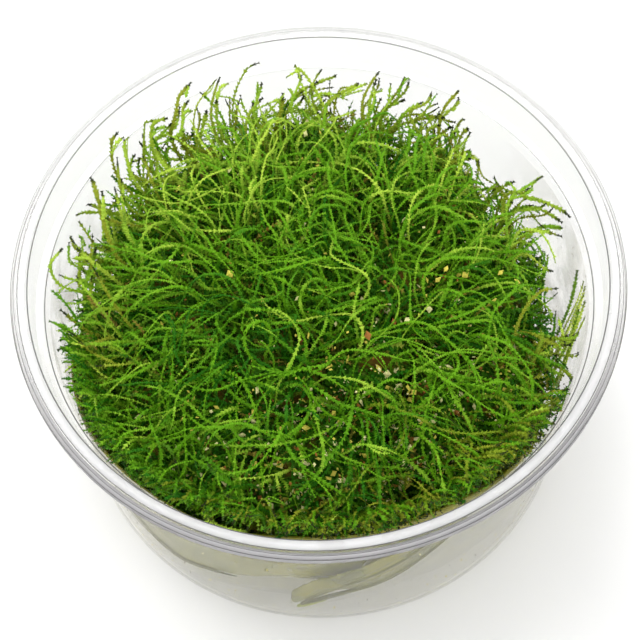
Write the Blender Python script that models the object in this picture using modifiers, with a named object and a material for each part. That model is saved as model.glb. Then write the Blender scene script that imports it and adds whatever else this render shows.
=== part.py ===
"""A clump of living moss in its open clear tub, with the culture gel that it grows on.

Metres, +Z up. The origin is the centre of the tub's underside. An angle is in degrees, measured
around the tub from its front (-Y) towards its right (+X).
"""

import math

import bmesh
import bpy
from mathutils import Vector, noise

# Tub
RIM_RADIUS = 0.0500
RIM_HEIGHT = 0.0475
SEAT_INNER_RADIUS = 0.0471  # the flat ring on top of the rim, which a lid would sit on
SEAT_OUTER_RADIUS = 0.04866
LIP_DROP = 0.0020
COLLAR_RADIUS = 0.0463  # foot of the upright collar between the shoulder and the rim
SHOULDER_RADIUS = 0.0456
SHOULDER_HEIGHT = 0.0410
BASE_RADIUS = 0.0441
WALL = 0.0006
CORNER = 0.0012
EASE = 0.0004  # drop of the small roundings at the rim and the shoulder
TUB_STEPS = 60

# Gel
GAP = 0.0003  # between pieces that touch
SECTIONS = 36  # radial sections round the gel and round the mat
GEL_THICKNESS = 0.0038
GEL_SKIN = 0.0012
SKIN_FOOT = 0.0020  # how far the foot of the skin reaches in from the wall
CONTACT_SHARE = 0.58  # share of the gel's reach that rests on the floor
BEND_SHARE = 0.80  # share of it where the underside turns up towards the wall

# Angle: height of the gel's lower edge, of its upper edge, and share of the tub's radius that it reaches
GEL_EDGE = {
    -180: (0.0040, 0.0110, 0.90),
    -120: (0.0028, 0.0140, 0.94),
    -90: (0.0025, 0.0240, 1.00),
    -62: (0.0034, 0.0380, 1.00),
    -45: (0.0046, 0.0420, 1.00),
    -35: (0.0064, 0.0430, 1.00),
    -27: (0.0112, 0.0430, 1.00),
    -20: (0.0146, 0.0430, 1.00),
    -10: (0.0166, 0.0430, 1.00),
    0: (0.0150, 0.0430, 1.00),
    10: (0.0142, 0.0430, 1.00),
    16: (0.0188, 0.0430, 1.00),
    23: (0.0250, 0.0430, 1.00),
    30: (0.0280, 0.0430, 1.00),
    40: (0.0300, 0.0420, 1.00),
    60: (0.0180, 0.0280, 0.94),
    85: (0.0080, 0.0150, 0.90),
    180: (0.0040, 0.0110, 0.90),
}

# Folded flap of gel skin, which hangs inside the front wall. Angle: height of its edge
FLAP_THICKNESS = 0.0008
FLAP_MARGIN = 4  # degrees kept free at each end of it
FLAP_COLUMNS = 20
FLAP_ROWS = 5
FLAP_LOWER = {
    -10: 0.0052, -8.5: 0.0046, -6: 0.0098, -1: 0.0130, 10: 0.0134, 16: 0.0184, 23: 0.0245, 30: 0.0284
}
FLAP_UPPER = {-10: 0.0120, -5: 0.0190, 4: 0.0240, 16: 0.0300, 30: 0.0330}

# Moss mat
MAT_TOP = 0.0220
MAT_ROUNDING = 0.0014

# Tufts: one in the middle, a ring around it, and a ring along the wall
CROWN_HEIGHT = 0.0472  # the clump stays below the seat of the lid
INNER_RING = 0.0150
INNER_TUFTS = 5
INNER_HALF = 0.0110
OUTER_RING = 0.0300
OUTER_HALF = 0.0150
OUTER_NAMES = (
    "tuft_front",
    "tuft_front_right",
    "tuft_right",
    "tuft_back_right",
    "tuft_back",
    "tuft_back_left",
    "tuft_left",
    "tuft_front_left",
)
RING_DROP = 0.0006  # how much lower each ring of tufts is than the one inside it
FRONT_DROP = 0.0032
TUFT_GAP = 0.0004
LUMP = 0.10
WALL_TUFT_PLANE = 0.0400  # the small tuft stands beyond this, between the clump and the wall
WALL_TUFT_RADII = (0.0040, 0.0100, 0.0130)
WALL_TUFT_HEIGHT = 0.0280

# Finish: colour and roughness
FINISHES = {
    "clear_plastic": ((0.90, 0.92, 0.92), 0.12),
    "culture_gel": ((0.36, 0.35, 0.16), 0.35),
    "old_moss": ((0.16, 0.11, 0.03), 0.90),
    "moss": ((0.09, 0.28, 0.02), 0.80),
    "young_moss": ((0.25, 0.42, 0.05), 0.80),
}


def clear_scene():
    for obj in list(bpy.data.objects):
        bpy.data.objects.remove(obj, do_unlink=True)


def collection_named(name):
    made = bpy.data.collections.new(name)
    bpy.context.scene.collection.children.link(made)
    return made


def material_for(name, finish):
    color, roughness = FINISHES[finish]
    material = bpy.data.materials.new(name)
    material.use_nodes = True
    shader = material.node_tree.nodes["Principled BSDF"]
    shader.inputs["Base Color"].default_value = (*color, 1.0)
    shader.inputs["Roughness"].default_value = roughness
    shader.inputs["Metallic"].default_value = 0.0
    if finish == "clear_plastic":
        shader.inputs["Transmission Weight"].default_value = 0.9
    return material


def add_object(name, mesh, parts, finish):
    obj = bpy.data.objects.new(name, mesh)
    parts.objects.link(obj)
    mesh.materials.append(material_for(name, finish))
    return obj


def object_from_bmesh(name, bm, parts, finish):
    bmesh.ops.recalc_face_normals(bm, faces=bm.faces[:])
    mesh = bpy.data.meshes.new(name)
    bm.to_mesh(mesh)
    bm.free()
    mesh.shade_smooth()
    mesh.set_sharp_from_angle(angle=math.radians(50))
    return add_object(name, mesh, parts, finish)


def eased(table, angle):
    """Value of a table of angles at this angle, in a straight line between its entries."""
    angles = sorted(table)
    angle = min(max(angle, angles[0]), angles[-1])
    for low, high in zip(angles, angles[1:]):
        if angle <= high:
            return table[low] + (table[high] - table[low]) * (angle - low) / (high - low)
    return table[angles[-1]]


def on_circle(radius, angle, height):
    turn = math.radians(angle)
    return Vector((radius * math.sin(turn), -radius * math.cos(turn), height))


def angle_of(point):
    return math.degrees(math.atan2(point.x, -point.y))


def wall_radius(height):
    """Inner radius of the tub's tapered wall."""
    share = height / SHOULDER_HEIGHT
    return BASE_RADIUS + (SHOULDER_RADIUS - BASE_RADIUS) * share - WALL


# --- tub -------------------------------------------------------------------------------------


def corner(radius, height):
    """Three points round the bend from the floor up into the wall."""
    points = []
    for turn in (0.0, math.pi / 4, math.pi / 2):
        r = radius - CORNER + CORNER * math.sin(turn)
        z = height + CORNER - CORNER * math.cos(turn)
        points.append((r, z))
    return points


def tub_profile():
    """(radius, height) from the floor's middle, up inside, over the rim and down outside."""
    seat = RIM_HEIGHT
    inside = [(0.0, WALL)]
    inside += corner(wall_radius(WALL), WALL)
    inside += [
        (SHOULDER_RADIUS - WALL, SHOULDER_HEIGHT - EASE / 2),
        (SHOULDER_RADIUS, SHOULDER_HEIGHT),
        (COLLAR_RADIUS, SHOULDER_HEIGHT + EASE),
        (SEAT_INNER_RADIUS - EASE / 2, seat - EASE),
    ]
    rim = [
        (SEAT_INNER_RADIUS, seat),
        (SEAT_OUTER_RADIUS, seat),
        (RIM_RADIUS - EASE / 2, seat - EASE),
        (RIM_RADIUS, seat - 2 * EASE),
        (RIM_RADIUS, seat - LIP_DROP),
        (RIM_RADIUS - WALL, seat - LIP_DROP),
        (RIM_RADIUS - WALL, seat - 3 * EASE),
        (SEAT_OUTER_RADIUS - EASE / 2, seat - WALL),
        (SEAT_INNER_RADIUS + WALL, seat - WALL),
    ]
    outside = [
        (COLLAR_RADIUS + WALL, SHOULDER_HEIGHT),
        (SHOULDER_RADIUS + EASE / 2, SHOULDER_HEIGHT - WALL),
    ]
    outside += corner(BASE_RADIUS, 0.0)[::-1]
    outside += [(0.0, 0.0)]
    return inside + rim + outside


def build_tub(parts):
    points = [(r, 0.0, z) for r, z in tub_profile()]
    edges = [(i, i + 1) for i in range(len(points) - 1)]
    mesh = bpy.data.meshes.new("tub")
    mesh.from_pydata(points, edges, [])
    tub = add_object("tub", mesh, parts, "clear_plastic")
    screw = tub.modifiers.new("turn", "SCREW")
    screw.steps = TUB_STEPS
    screw.render_steps = TUB_STEPS
    screw.use_merge_vertices = True
    screw.merge_threshold = 0.00001
    return tub


# --- gel and mat -----------------------------------------------------------------------------


def gel_edge(angle):
    """Lower edge, upper edge and reach of the gel at this angle."""
    angle = (angle + 180) % 360 - 180
    return [eased({a: row[i] for a, row in GEL_EDGE.items()}, angle) for i in range(3)]


def flap_room(angle):
    """Space that the folded flap takes between the gel and the wall."""
    first, last = min(FLAP_LOWER), max(FLAP_LOWER)
    return FLAP_THICKNESS + GAP if first - FLAP_MARGIN < angle < last + FLAP_MARGIN else 0.0


def gel_section(angle):
    """(radius, height) round the gel's section: out along its underside, up its edge and back inside."""
    low, high, reach = gel_edge(angle)
    rest = WALL + GAP
    flat = CONTACT_SHARE * reach * BASE_RADIUS
    bend = BEND_SHARE * reach * BASE_RADIUS
    bend_height = rest + 0.45 * (low - rest)
    middle = low + GEL_THICKNESS + 0.5 * (high - low - GEL_THICKNESS)

    def edge(height):
        return reach * wall_radius(height) - GAP - flap_room(angle)

    return [
        (0.0, rest),
        (0.5 * flat, rest),
        (flat, rest),
        (bend, bend_height),
        (edge(low) - 0.5 * GEL_SKIN, low),
        (edge(low), low + 0.5 * GEL_SKIN),
        (edge(middle), middle),
        (edge(high), high),
        (edge(high) - GEL_SKIN, high),
        (edge(middle) - GEL_SKIN, middle),
        (edge(low) - SKIN_FOOT, low + GEL_THICKNESS),
        (bend, bend_height + GEL_THICKNESS),
        (flat, rest + GEL_THICKNESS),
        (0.5 * flat, rest + GEL_THICKNESS),
        (0.0, rest + GEL_THICKNESS),
    ]


def gel_upper_side(angle):
    """The part of the gel's section that the moss lies in, from the axis outwards."""
    return gel_section(angle)[:7:-1]


def gel_top(angle, radius):
    """Height of the gel's upper side at this radius."""
    upper = gel_upper_side(angle)[:5]
    for (r0, z0), (r1, z1) in zip(upper, upper[1:]):
        if r0 <= radius <= r1:
            return z0 + (z1 - z0) * (radius - r0) / (r1 - r0)
    return upper[-1][1]


def gel_inside(angle, height):
    """Radius of the gel's inner side at this height, or None above the gel."""
    upper = gel_upper_side(angle)
    for (r0, z0), (r1, z1) in zip(upper, upper[1:]):
        if z0 < height <= z1:
            return r0 + (r1 - r0) * (height - z0) / (z1 - z0)
    return None


def mat_section(angle):
    """(radius, height) round the mat's section, which follows the gel's upper side."""
    low, _, reach = gel_edge(angle)
    flat = CONTACT_SHARE * reach * BASE_RADIUS
    bend = BEND_SHARE * reach * BASE_RADIUS
    share = 1.0 if low < 0.010 else 0.88 if low < 0.017 else 0.80
    outer = share * (reach * wall_radius(low) - flap_room(angle) - SKIN_FOOT - 3 * GAP)
    under = [(r, gel_top(angle, r) + 2 * GAP) for r in (0.0, 0.5 * flat, flat, min(bend, 0.9 * outer))]
    foot = gel_top(angle, outer) + 2 * GAP
    return under + [
        (outer - 0.5 * MAT_ROUNDING, foot),
        (outer, foot + MAT_ROUNDING),
        (outer, MAT_TOP - MAT_ROUNDING),
        (outer - MAT_ROUNDING, MAT_TOP),
        (0.5 * outer, MAT_TOP),
        (0.0, MAT_TOP),
    ]


def loft(name, section_at, parts, finish):
    """A closed body through one section at each angle. A section starts and ends on the axis."""
    bm = bmesh.new()
    bottom = bm.verts.new((0.0, 0.0, section_at(0)[0][1]))
    top = bm.verts.new((0.0, 0.0, section_at(0)[-1][1]))
    rows = []
    for index in range(SECTIONS):
        angle = 360 * index / SECTIONS - 180
        rows.append([bm.verts.new(on_circle(r, angle, z)) for r, z in section_at(angle)[1:-1]])
    for row, after in zip(rows, rows[1:] + rows[:1]):
        bm.faces.new((bottom, row[0], after[0]))
        bm.faces.new((top, after[-1], row[-1]))
        for i in range(len(row) - 1):
            bm.faces.new((row[i], row[i + 1], after[i + 1], after[i]))
    bmesh.ops.triangulate(bm, faces=bm.faces[:])
    return object_from_bmesh(name, bm, parts, finish)


def build_flap(parts):
    """An open strip that follows the wall, given its thickness inwards by Solidify."""
    bm = bmesh.new()
    first, last = min(FLAP_LOWER), max(FLAP_LOWER)
    rows = []
    for column in range(FLAP_COLUMNS + 1):
        angle = first + (last - first) * column / FLAP_COLUMNS
        low = eased(FLAP_LOWER, angle)
        high = eased(FLAP_UPPER, angle)
        heights = [low + (high - low) * step / FLAP_ROWS for step in range(FLAP_ROWS + 1)]
        rows.append([bm.verts.new(on_circle(wall_radius(z) - GAP, angle, z)) for z in heights])
    for row, after in zip(rows, rows[1:]):
        for i in range(FLAP_ROWS):
            bm.faces.new((row[i], after[i], after[i + 1], row[i + 1]))
    flap = object_from_bmesh("gel_flap", bm, parts, "culture_gel")
    solidify = flap.modifiers.new("thickness", "SOLIDIFY")
    solidify.thickness = FLAP_THICKNESS
    solidify.offset = -1.0
    return flap


# --- tufts -----------------------------------------------------------------------------------


def tuft_places():
    """Name: (centre of the tuft on plan, height of its top, half width)."""
    places = {"tuft_centre": (Vector((0.0, 0.0, 0.0)), CROWN_HEIGHT, INNER_HALF)}
    for index in range(INNER_TUFTS):
        angle = 360 * (index + 0.5) / INNER_TUFTS
        centre = on_circle(INNER_RING, angle, 0.0)
        places[f"tuft_inner_{index + 1}"] = (centre, CROWN_HEIGHT - RING_DROP, INNER_HALF)
    for index, name in enumerate(OUTER_NAMES):
        drop = FRONT_DROP if "front" in name else 2 * RING_DROP
        centre = on_circle(OUTER_RING, 360 * index / len(OUTER_NAMES), 0.0)
        places[name] = (centre, CROWN_HEIGHT - drop, OUTER_HALF)
    return places


def lumpy_body(centre, radii, seed):
    """A rounded block of moss: a sphere swelled towards its box, with soft lumps round its sides."""
    bm = bmesh.new()
    bmesh.ops.create_icosphere(bm, subdivisions=2, radius=1.0)
    for vert in bm.verts:
        way = vert.co.normalized()
        swell = sum(abs(part) ** 3 for part in way) ** (-1 / 3)
        lump = 1.0 + LUMP * noise.noise(way * 2.2 + Vector((seed * 3.7, 0.0, 1.3)))
        sides = Vector((way.x * radii[0], way.y * radii[1], 0.0)) * swell * lump
        vert.co = Vector(centre) + sides + Vector((0.0, 0.0, way.z * radii[2] * swell))
    return bm


def cut_flat(bm, point, normal):
    """Cuts off what lies beyond the plane, and closes the cut."""
    geometry = bm.verts[:] + bm.edges[:] + bm.faces[:]
    cut = bmesh.ops.bisect_plane(
        bm, geom=geometry, dist=0.000001, plane_co=point, plane_no=normal, clear_outer=True
    )
    edges = [item for item in cut["geom_cut"] if isinstance(item, bmesh.types.BMEdge)]
    if edges:
        bmesh.ops.edgenet_fill(bm, edges=edges)


def draw_in(bm, limit_at):
    """Draws each point in towards the axis until it is within limit_at(angle, height)."""
    for vert in bm.verts:
        radius = math.hypot(vert.co.x, vert.co.y)
        share = min(1.0, limit_at(angle_of(vert.co), vert.co.z) / max(radius, GAP))
        vert.co.x *= share
        vert.co.y *= share


def room_in_tub(angle, height):
    """How far out a tuft can reach: to the wall, or to the gel's skin where that climbs the wall."""
    limits = [wall_radius(height) - 3 * GAP]
    spread = 360 / SECTIONS
    for beside in (-spread, 0, spread):
        for below in (0.0, GEL_THICKNESS):
            inside = gel_inside(angle + beside, height - below)
            limits.append((inside or RIM_RADIUS) - 2 * GAP)
    return min(limits)


def finish_tuft(name, bm, parts, finish):
    bmesh.ops.triangulate(bm, faces=bm.faces[:])
    bmesh.ops.remove_doubles(bm, verts=bm.verts[:], dist=0.00002)
    return object_from_bmesh(name, bm, parts, finish)


def build_tufts(parts):
    """Each tuft is cut flat where it stands on the mat, and midway to each of its neighbours."""
    places = tuft_places()
    foot = MAT_TOP + GAP
    for seed, (name, (centre, top, half)) in enumerate(places.items()):
        height = 0.5 * (top - foot) + 0.1 * half
        bm = lumpy_body((centre.x, centre.y, top - height), (half, half, height), seed)
        draw_in(bm, room_in_tub)
        cut_flat(bm, Vector((0.0, 0.0, foot)), Vector((0.0, 0.0, -1.0)))
        if name == "tuft_right":
            cut_flat(bm, Vector((WALL_TUFT_PLANE - GAP, 0.0, 0.0)), Vector((1.0, 0.0, 0.0)))
        for other, (place, _, _) in places.items():
            if other != name:
                way = (place - centre).normalized()
                cut_flat(bm, 0.5 * (place + centre) - 0.5 * TUFT_GAP * way, way)
        finish_tuft(name, bm, parts, "moss")


def build_wall_tuft(parts):
    """The small tuft that leans on the right-hand wall, in the crescent that the clump leaves free."""
    centre = (WALL_TUFT_PLANE + 0.5 * WALL_TUFT_RADII[0], 0.0, WALL_TUFT_HEIGHT)
    bm = lumpy_body(centre, WALL_TUFT_RADII, len(OUTER_NAMES) + INNER_TUFTS + 1)
    draw_in(bm, lambda angle, height: wall_radius(height) - 2 * GAP)
    cut_flat(bm, Vector((WALL_TUFT_PLANE + GAP, 0.0, 0.0)), Vector((-1.0, 0.0, 0.0)))
    finish_tuft("tuft_wall", bm, parts, "young_moss")


def main():
    clear_scene()
    parts = collection_named("moss_clump")
    build_tub(parts)
    loft("gel", gel_section, parts, "culture_gel")
    build_flap(parts)
    loft("moss_mat", mat_section, parts, "old_moss")
    build_tufts(parts)
    build_wall_tuft(parts)


main()
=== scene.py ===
# %% [markdown]
# # A clump of moss in a clear tub
#
# This lesson dresses a plain solid model of a moss clump. On the real thing a tangle of green shoots,
# each one a thread with two rows of tiny leaves, grows on a cake of culture gel in a clear round tub.
#
# The solids fix where everything is. Each of them is either kept or replaced by a finer mesh that
# fills the same place. All lengths below are in metres unless a name ends in _MM or _mm, or a
# comment says millimetres.

import math

import bmesh
import bpy
import numpy as np
from mathutils import Matrix, Vector, bvhtree, noise


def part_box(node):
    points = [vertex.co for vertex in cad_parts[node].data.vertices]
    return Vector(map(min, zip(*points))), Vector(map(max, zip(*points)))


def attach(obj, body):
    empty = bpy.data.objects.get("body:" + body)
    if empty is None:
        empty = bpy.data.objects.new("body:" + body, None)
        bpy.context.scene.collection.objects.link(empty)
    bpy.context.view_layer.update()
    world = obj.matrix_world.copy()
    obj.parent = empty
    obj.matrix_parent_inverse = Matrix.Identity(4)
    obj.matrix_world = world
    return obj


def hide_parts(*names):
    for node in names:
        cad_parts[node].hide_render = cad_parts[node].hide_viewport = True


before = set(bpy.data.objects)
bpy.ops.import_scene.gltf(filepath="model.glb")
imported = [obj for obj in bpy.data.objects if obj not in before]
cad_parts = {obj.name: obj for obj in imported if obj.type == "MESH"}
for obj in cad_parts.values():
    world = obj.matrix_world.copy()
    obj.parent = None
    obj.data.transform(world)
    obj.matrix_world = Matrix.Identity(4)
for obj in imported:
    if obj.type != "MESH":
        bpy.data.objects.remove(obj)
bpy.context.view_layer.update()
_, tub_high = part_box("tub")
_, mat_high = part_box("moss_mat")
print("solids:", ", ".join(sorted(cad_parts)))

# %% [markdown]
# ## Measures
#
# The tub is the ruler for the rest. Its rim and its height come from the solid, and the few measures
# that the solid's box can't tell are named here: the wall's taper, the shoulder and the rim's seat.

# %% Measures taken from the tub
MM = 0.001
RIM_RADIUS = tub_high.x
RIM_HEIGHT = tub_high.z
WALL = 0.6 * MM
SHOULDER_HEIGHT = 41.0 * MM
SHOULDER_RADIUS = 45.6 * MM
BASE_RADIUS = 44.1 * MM
MAT_TOP = mat_high.z
SEED = 11


def wall_radius(height):
    """Inner radius of the tapered wall, for a number or an array of heights."""
    share = np.clip(height / SHOULDER_HEIGHT, 0.0, 1.0)
    return BASE_RADIUS + (SHOULDER_RADIUS - BASE_RADIUS) * share - WALL


print(f"rim {2 * RIM_RADIUS / MM:.0f} mm across, mat top at {MAT_TOP / MM:.1f} mm")

# %% [markdown]
# ## Helpers for node trees
#
# Shader trees and Geometry Nodes trees are both lists of nodes and of links. Two short helpers keep
# the recipes below readable: one adds a node with its settings, the other sets or links an input.


# %% Helpers for node trees
def put(tree, kind, **settings):
    node = tree.nodes.new(kind)
    for name, value in settings.items():
        setattr(node, name, value)
    return node


def feed(tree, node, socket, source):
    """Links a socket to another one, or gives it a plain value."""
    target = node.inputs[socket]
    if isinstance(source, bpy.types.NodeSocket):
        tree.links.new(source, target)
    else:
        target.default_value = source


def object_place(tree):
    """The place on the object itself, which a pattern follows."""
    return put(tree, "ShaderNodeTexCoord").outputs["Object"]


def split_axes(tree, place):
    axes = put(tree, "ShaderNodeSeparateXYZ")
    feed(tree, axes, 0, place)
    return axes.outputs


def own_number(tree, name):
    """A number that the mesh carries at its points."""
    return put(tree, "ShaderNodeAttribute", attribute_name=name).outputs["Fac"]


def noise_value(tree, place, scale, detail):
    node = put(tree, "ShaderNodeTexNoise")
    for socket, source in (("Vector", place), ("Scale", scale), ("Detail", detail)):
        feed(tree, node, socket, source)
    return node.outputs["Fac"]


def math_node(tree, operation, *values, clamp=False):
    node = put(tree, "ShaderNodeMath", operation=operation, use_clamp=clamp)
    for index, value in enumerate(values):
        feed(tree, node, index, value)
    return node.outputs[0]


def mix_colors(tree, factor, first, second, blend="MIX"):
    node = put(tree, "ShaderNodeMix", data_type="RGBA", blend_type=blend)
    feed(tree, node, 0, factor)
    feed(tree, node, 6, first)
    feed(tree, node, 7, second)
    return node.outputs[2]


def ranged(tree, value, low, high, to_low=0.0, to_high=1.0):
    node = put(tree, "ShaderNodeMapRange", interpolation_type="SMOOTHSTEP")
    for index, source in enumerate((value, low, high, to_low, to_high)):
        feed(tree, node, index, source)
    return node.outputs[0]


def new_material(name, base, roughness, **values):
    """A Principled material. Values name other sockets, with _ for a space."""
    material = bpy.data.materials.new(name)
    material.use_nodes = True
    shader = material.node_tree.nodes["Principled BSDF"]
    shader.inputs["Base Color"].default_value = (*base, 1.0)
    shader.inputs["Roughness"].default_value = roughness
    for socket, value in values.items():
        shader.inputs[socket.replace("_", " ")].default_value = value
    return material, material.node_tree, shader


# %% [markdown]
# ## The colour of a shoot
#
# A moss shoot isn't one green. It is brown at its foot, mid green along its length and yellow-green
# where it is young, and its very tip is nearly black. No two shoots have quite the same tone.
#
# Image textures could not follow thousands of threads. Instead each shoot carries three numbers for
# its colour in its mesh: *along* runs from 0 at its foot to 1 at its tip, *tone* is its own tone, with
# painted shade that darkens the shoots lying deep in the clump, and *dusk* says how dark its tip is and,
# past 1, how olive all of it has turned. One node group turns them into a colour, so the fresh moss,
# the young tuft and the old mat can share it with their own greens.


# %% Node group for the colour of shoots
SHOOT_COLORS = ("Deep", "Fresh", "Young", "Olive", "Foot", "Tip")


def shoot_color_group():
    group = bpy.data.node_groups.new("shoot_color", "ShaderNodeTree")
    for name in SHOOT_COLORS:
        group.interface.new_socket(name, in_out="INPUT", socket_type="NodeSocketColor")
    group.interface.new_socket("Color", in_out="OUTPUT", socket_type="NodeSocketColor")
    given = put(group, "NodeGroupInput")
    along, tone, dusk = [own_number(group, name) for name in ("along", "tone", "dusk")]
    speckle = noise_value(group, object_place(group), 420.0, 2.0)
    uneven = math_node(group, "MULTIPLY_ADD", speckle, 0.5, -0.25)
    tone = math_node(group, "ADD", tone, uneven, clamp=True)
    green = mix_colors(group, ranged(group, tone, 0.0, 0.5), given.outputs["Deep"], given.outputs["Fresh"])
    green = mix_colors(group, ranged(group, tone, 0.5, 1.0), green, given.outputs["Young"])
    green = mix_colors(group, ranged(group, dusk, 1.0, 2.0), green, given.outputs["Olive"])
    footed = mix_colors(group, ranged(group, along, 0.30, 0.02), green, given.outputs["Foot"])
    tipped = math_node(group, "MULTIPLY", ranged(group, along, 0.90, 0.99), dusk, clamp=True)
    color = mix_colors(group, tipped, footed, given.outputs["Tip"])
    out = put(group, "NodeGroupOutput")
    feed(group, out, "Color", color)
    return group


def shoot_material(name, deep, fresh, young, olive, foot, tip, roughness=0.55):
    material, tree, shader = new_material(name, fresh, roughness)
    group = put(tree, "ShaderNodeGroup", node_tree=SHOOT_COLOR)
    for socket, color in zip(SHOOT_COLORS, (deep, fresh, young, olive, foot, tip)):
        group.inputs[socket].default_value = (*color, 1.0)
    feed(tree, shader, "Base Color", group.outputs["Color"])
    shader.inputs["Specular IOR Level"].default_value = 0.15
    return material


SHOOT_COLOR = shoot_color_group()
fresh_moss = shoot_material(
    "fresh_shoots",
    deep=(0.022, 0.150, 0.002),
    fresh=(0.140, 0.365, 0.006),
    young=(0.480, 0.680, 0.065),
    olive=(0.260, 0.310, 0.018),
    foot=(0.085, 0.085, 0.008),
    tip=(0.020, 0.030, 0.005),
)
young_moss = shoot_material(
    "young_shoots",
    deep=(0.130, 0.280, 0.016),
    fresh=(0.480, 0.640, 0.060),
    young=(0.750, 0.850, 0.200),
    olive=(0.500, 0.550, 0.060),
    foot=(0.200, 0.180, 0.040),
    tip=(0.040, 0.060, 0.012),
)
old_moss = shoot_material(
    "old_shoots",
    deep=(0.035, 0.150, 0.004),
    fresh=(0.110, 0.270, 0.010),
    young=(0.340, 0.270, 0.040),
    olive=(0.200, 0.200, 0.030),
    foot=(0.120, 0.070, 0.020),
    tip=(0.110, 0.070, 0.024),
)
print("moss finishes:", fresh_moss.name, young_moss.name, old_moss.name)

# %% [markdown]
# ## One pair of leaves
#
# A moss leaf is less than a millimetre long: a pointed scale that clasps the stem. Leaves stand in
# pairs, one on each side. They could be flat cards, but a card has no thickness and vanishes edge-on.
# Four points and four faces make a closed keel with two points, which is as light as a solid can be
# and catches the light from any side.
#
# The stem runs along +Y. The two points stick out past the foot of the next pair, so a row of them
# gives the saw-tooth edge of a real shoot.

# %% The leaf pair that every shoot repeats
def linked(name, data):
    """An object of the scene with this mesh, curve, light or camera."""
    obj = bpy.data.objects.new(name, data)
    bpy.context.scene.collection.objects.link(obj)
    return obj


def turn_outwards(mesh):
    """Makes every face of a closed mesh point outwards."""
    bm = bmesh.new()
    bm.from_mesh(mesh)
    bmesh.ops.recalc_face_normals(bm, faces=bm.faces[:])
    bm.to_mesh(mesh)
    bm.free()


LEAF_SPREAD = 0.50
LEAF_FOOT = -0.35
LEAF_POINT = 0.50
LEAF_KEEL = 0.24
LEAF_KEEL_AT = 0.12


def build_leaf_pair():
    """A pair of leaves on a stem that runs along +Y, 0.85 units long."""
    bm = bmesh.new()
    foot = bm.verts.new((0.0, LEAF_FOOT, 0.0))
    right = bm.verts.new((LEAF_SPREAD, LEAF_POINT, 0.0))
    left = bm.verts.new((-LEAF_SPREAD, LEAF_POINT, 0.0))
    keel = bm.verts.new((0.0, LEAF_KEEL_AT, LEAF_KEEL))
    for corners in ((foot, right, left), (foot, left, keel), (foot, keel, right), (left, right, keel)):
        bm.faces.new(corners)
    bmesh.ops.recalc_face_normals(bm, faces=bm.faces[:])
    mesh = bpy.data.meshes.new("leaf_pair")
    bm.to_mesh(mesh)
    bm.free()
    return linked("leaf_pair", mesh)


leaf_pair = build_leaf_pair()
print("leaf pair:", len(leaf_pair.data.polygons), "faces")

# %% [markdown]
# ## From thread to shoot
#
# A shoot is a thread with leaves set along it at even steps, each pair turned a little against the
# one before. That is a rule that follows a path, so Geometry Nodes do it: the tree takes loose edges
# as guides, gives each one a thin stem, stands a pair on every step and turns it all into real mesh.
#
# Array modifiers on curves would need one object for each shoot, and here there are thousands.


# %% Geometry Nodes tree that grows leaves along guides
def attribute(tree, name):
    node = put(tree, "GeometryNodeInputNamedAttribute", data_type="FLOAT")
    node.inputs["Name"].default_value = name
    return node.outputs["Attribute"]


def random_between(tree, low, high, seed):
    node = put(tree, "FunctionNodeRandomValue", data_type="FLOAT")
    feed(tree, node, 2, low)
    feed(tree, node, 3, high)
    feed(tree, node, "Seed", seed)
    return node.outputs[1]


PAIR_TURN = math.radians(50)
SHOOT_INPUTS = (
    ("Leaf", "NodeSocketObject"),
    ("Leaf Length", "NodeSocketFloat"),
    ("Leaf Spacing", "NodeSocketFloat"),
    ("Stem Radius", "NodeSocketFloat"),
    ("Stem Step", "NodeSocketFloat"),
    ("Seed", "NodeSocketInt"),
    ("Material", "NodeSocketMaterial"),
)


def shoot_tree():
    tree = bpy.data.node_groups.new("moss_shoots", "GeometryNodeTree")
    tree.interface.new_socket("Geometry", in_out="INPUT", socket_type="NodeSocketGeometry")
    for name, kind in SHOOT_INPUTS:
        tree.interface.new_socket(name, in_out="INPUT", socket_type=kind)
    tree.interface.new_socket("Geometry", in_out="OUTPUT", socket_type="NodeSocketGeometry")
    given = put(tree, "NodeGroupInput").outputs
    curve = put(tree, "GeometryNodeMeshToCurve")
    feed(tree, curve, "Mesh", given["Geometry"])
    stem = stem_nodes(tree, given, curve.outputs["Curve"])
    leaves = leaf_nodes(tree, given, curve.outputs["Curve"])
    joined = put(tree, "GeometryNodeJoinGeometry")
    tree.links.new(stem, joined.inputs[0])
    tree.links.new(leaves, joined.inputs[0])
    real = put(tree, "GeometryNodeRealizeInstances")
    feed(tree, real, "Geometry", joined.outputs[0])
    finish = put(tree, "GeometryNodeSetMaterial")
    feed(tree, finish, "Geometry", real.outputs[0])
    feed(tree, finish, "Material", given["Material"])
    out = put(tree, "NodeGroupOutput")
    feed(tree, out, "Geometry", finish.outputs[0])
    return tree


def stem_nodes(tree, given, curve):
    """A three-sided stem that thins towards its tip."""
    steps = put(tree, "GeometryNodeResampleCurve", mode="LENGTH")
    feed(tree, steps, "Curve", curve)
    feed(tree, steps, "Length", given["Stem Step"])
    ring = put(tree, "GeometryNodeCurvePrimitiveCircle")
    feed(tree, ring, "Resolution", 3)
    feed(tree, ring, "Radius", given["Stem Radius"])
    swept = put(tree, "GeometryNodeCurveToMesh")
    feed(tree, swept, "Curve", steps.outputs[0])
    feed(tree, swept, "Profile Curve", ring.outputs[0])
    thinning = ranged(tree, attribute(tree, "along"), 0.3, 1.0, 1.0, 0.6)
    feed(tree, swept, "Scale", math_node(tree, "MULTIPLY", thinning, attribute(tree, "stout")))
    feed(tree, swept, "Fill Caps", True)
    return swept.outputs[0]


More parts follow.
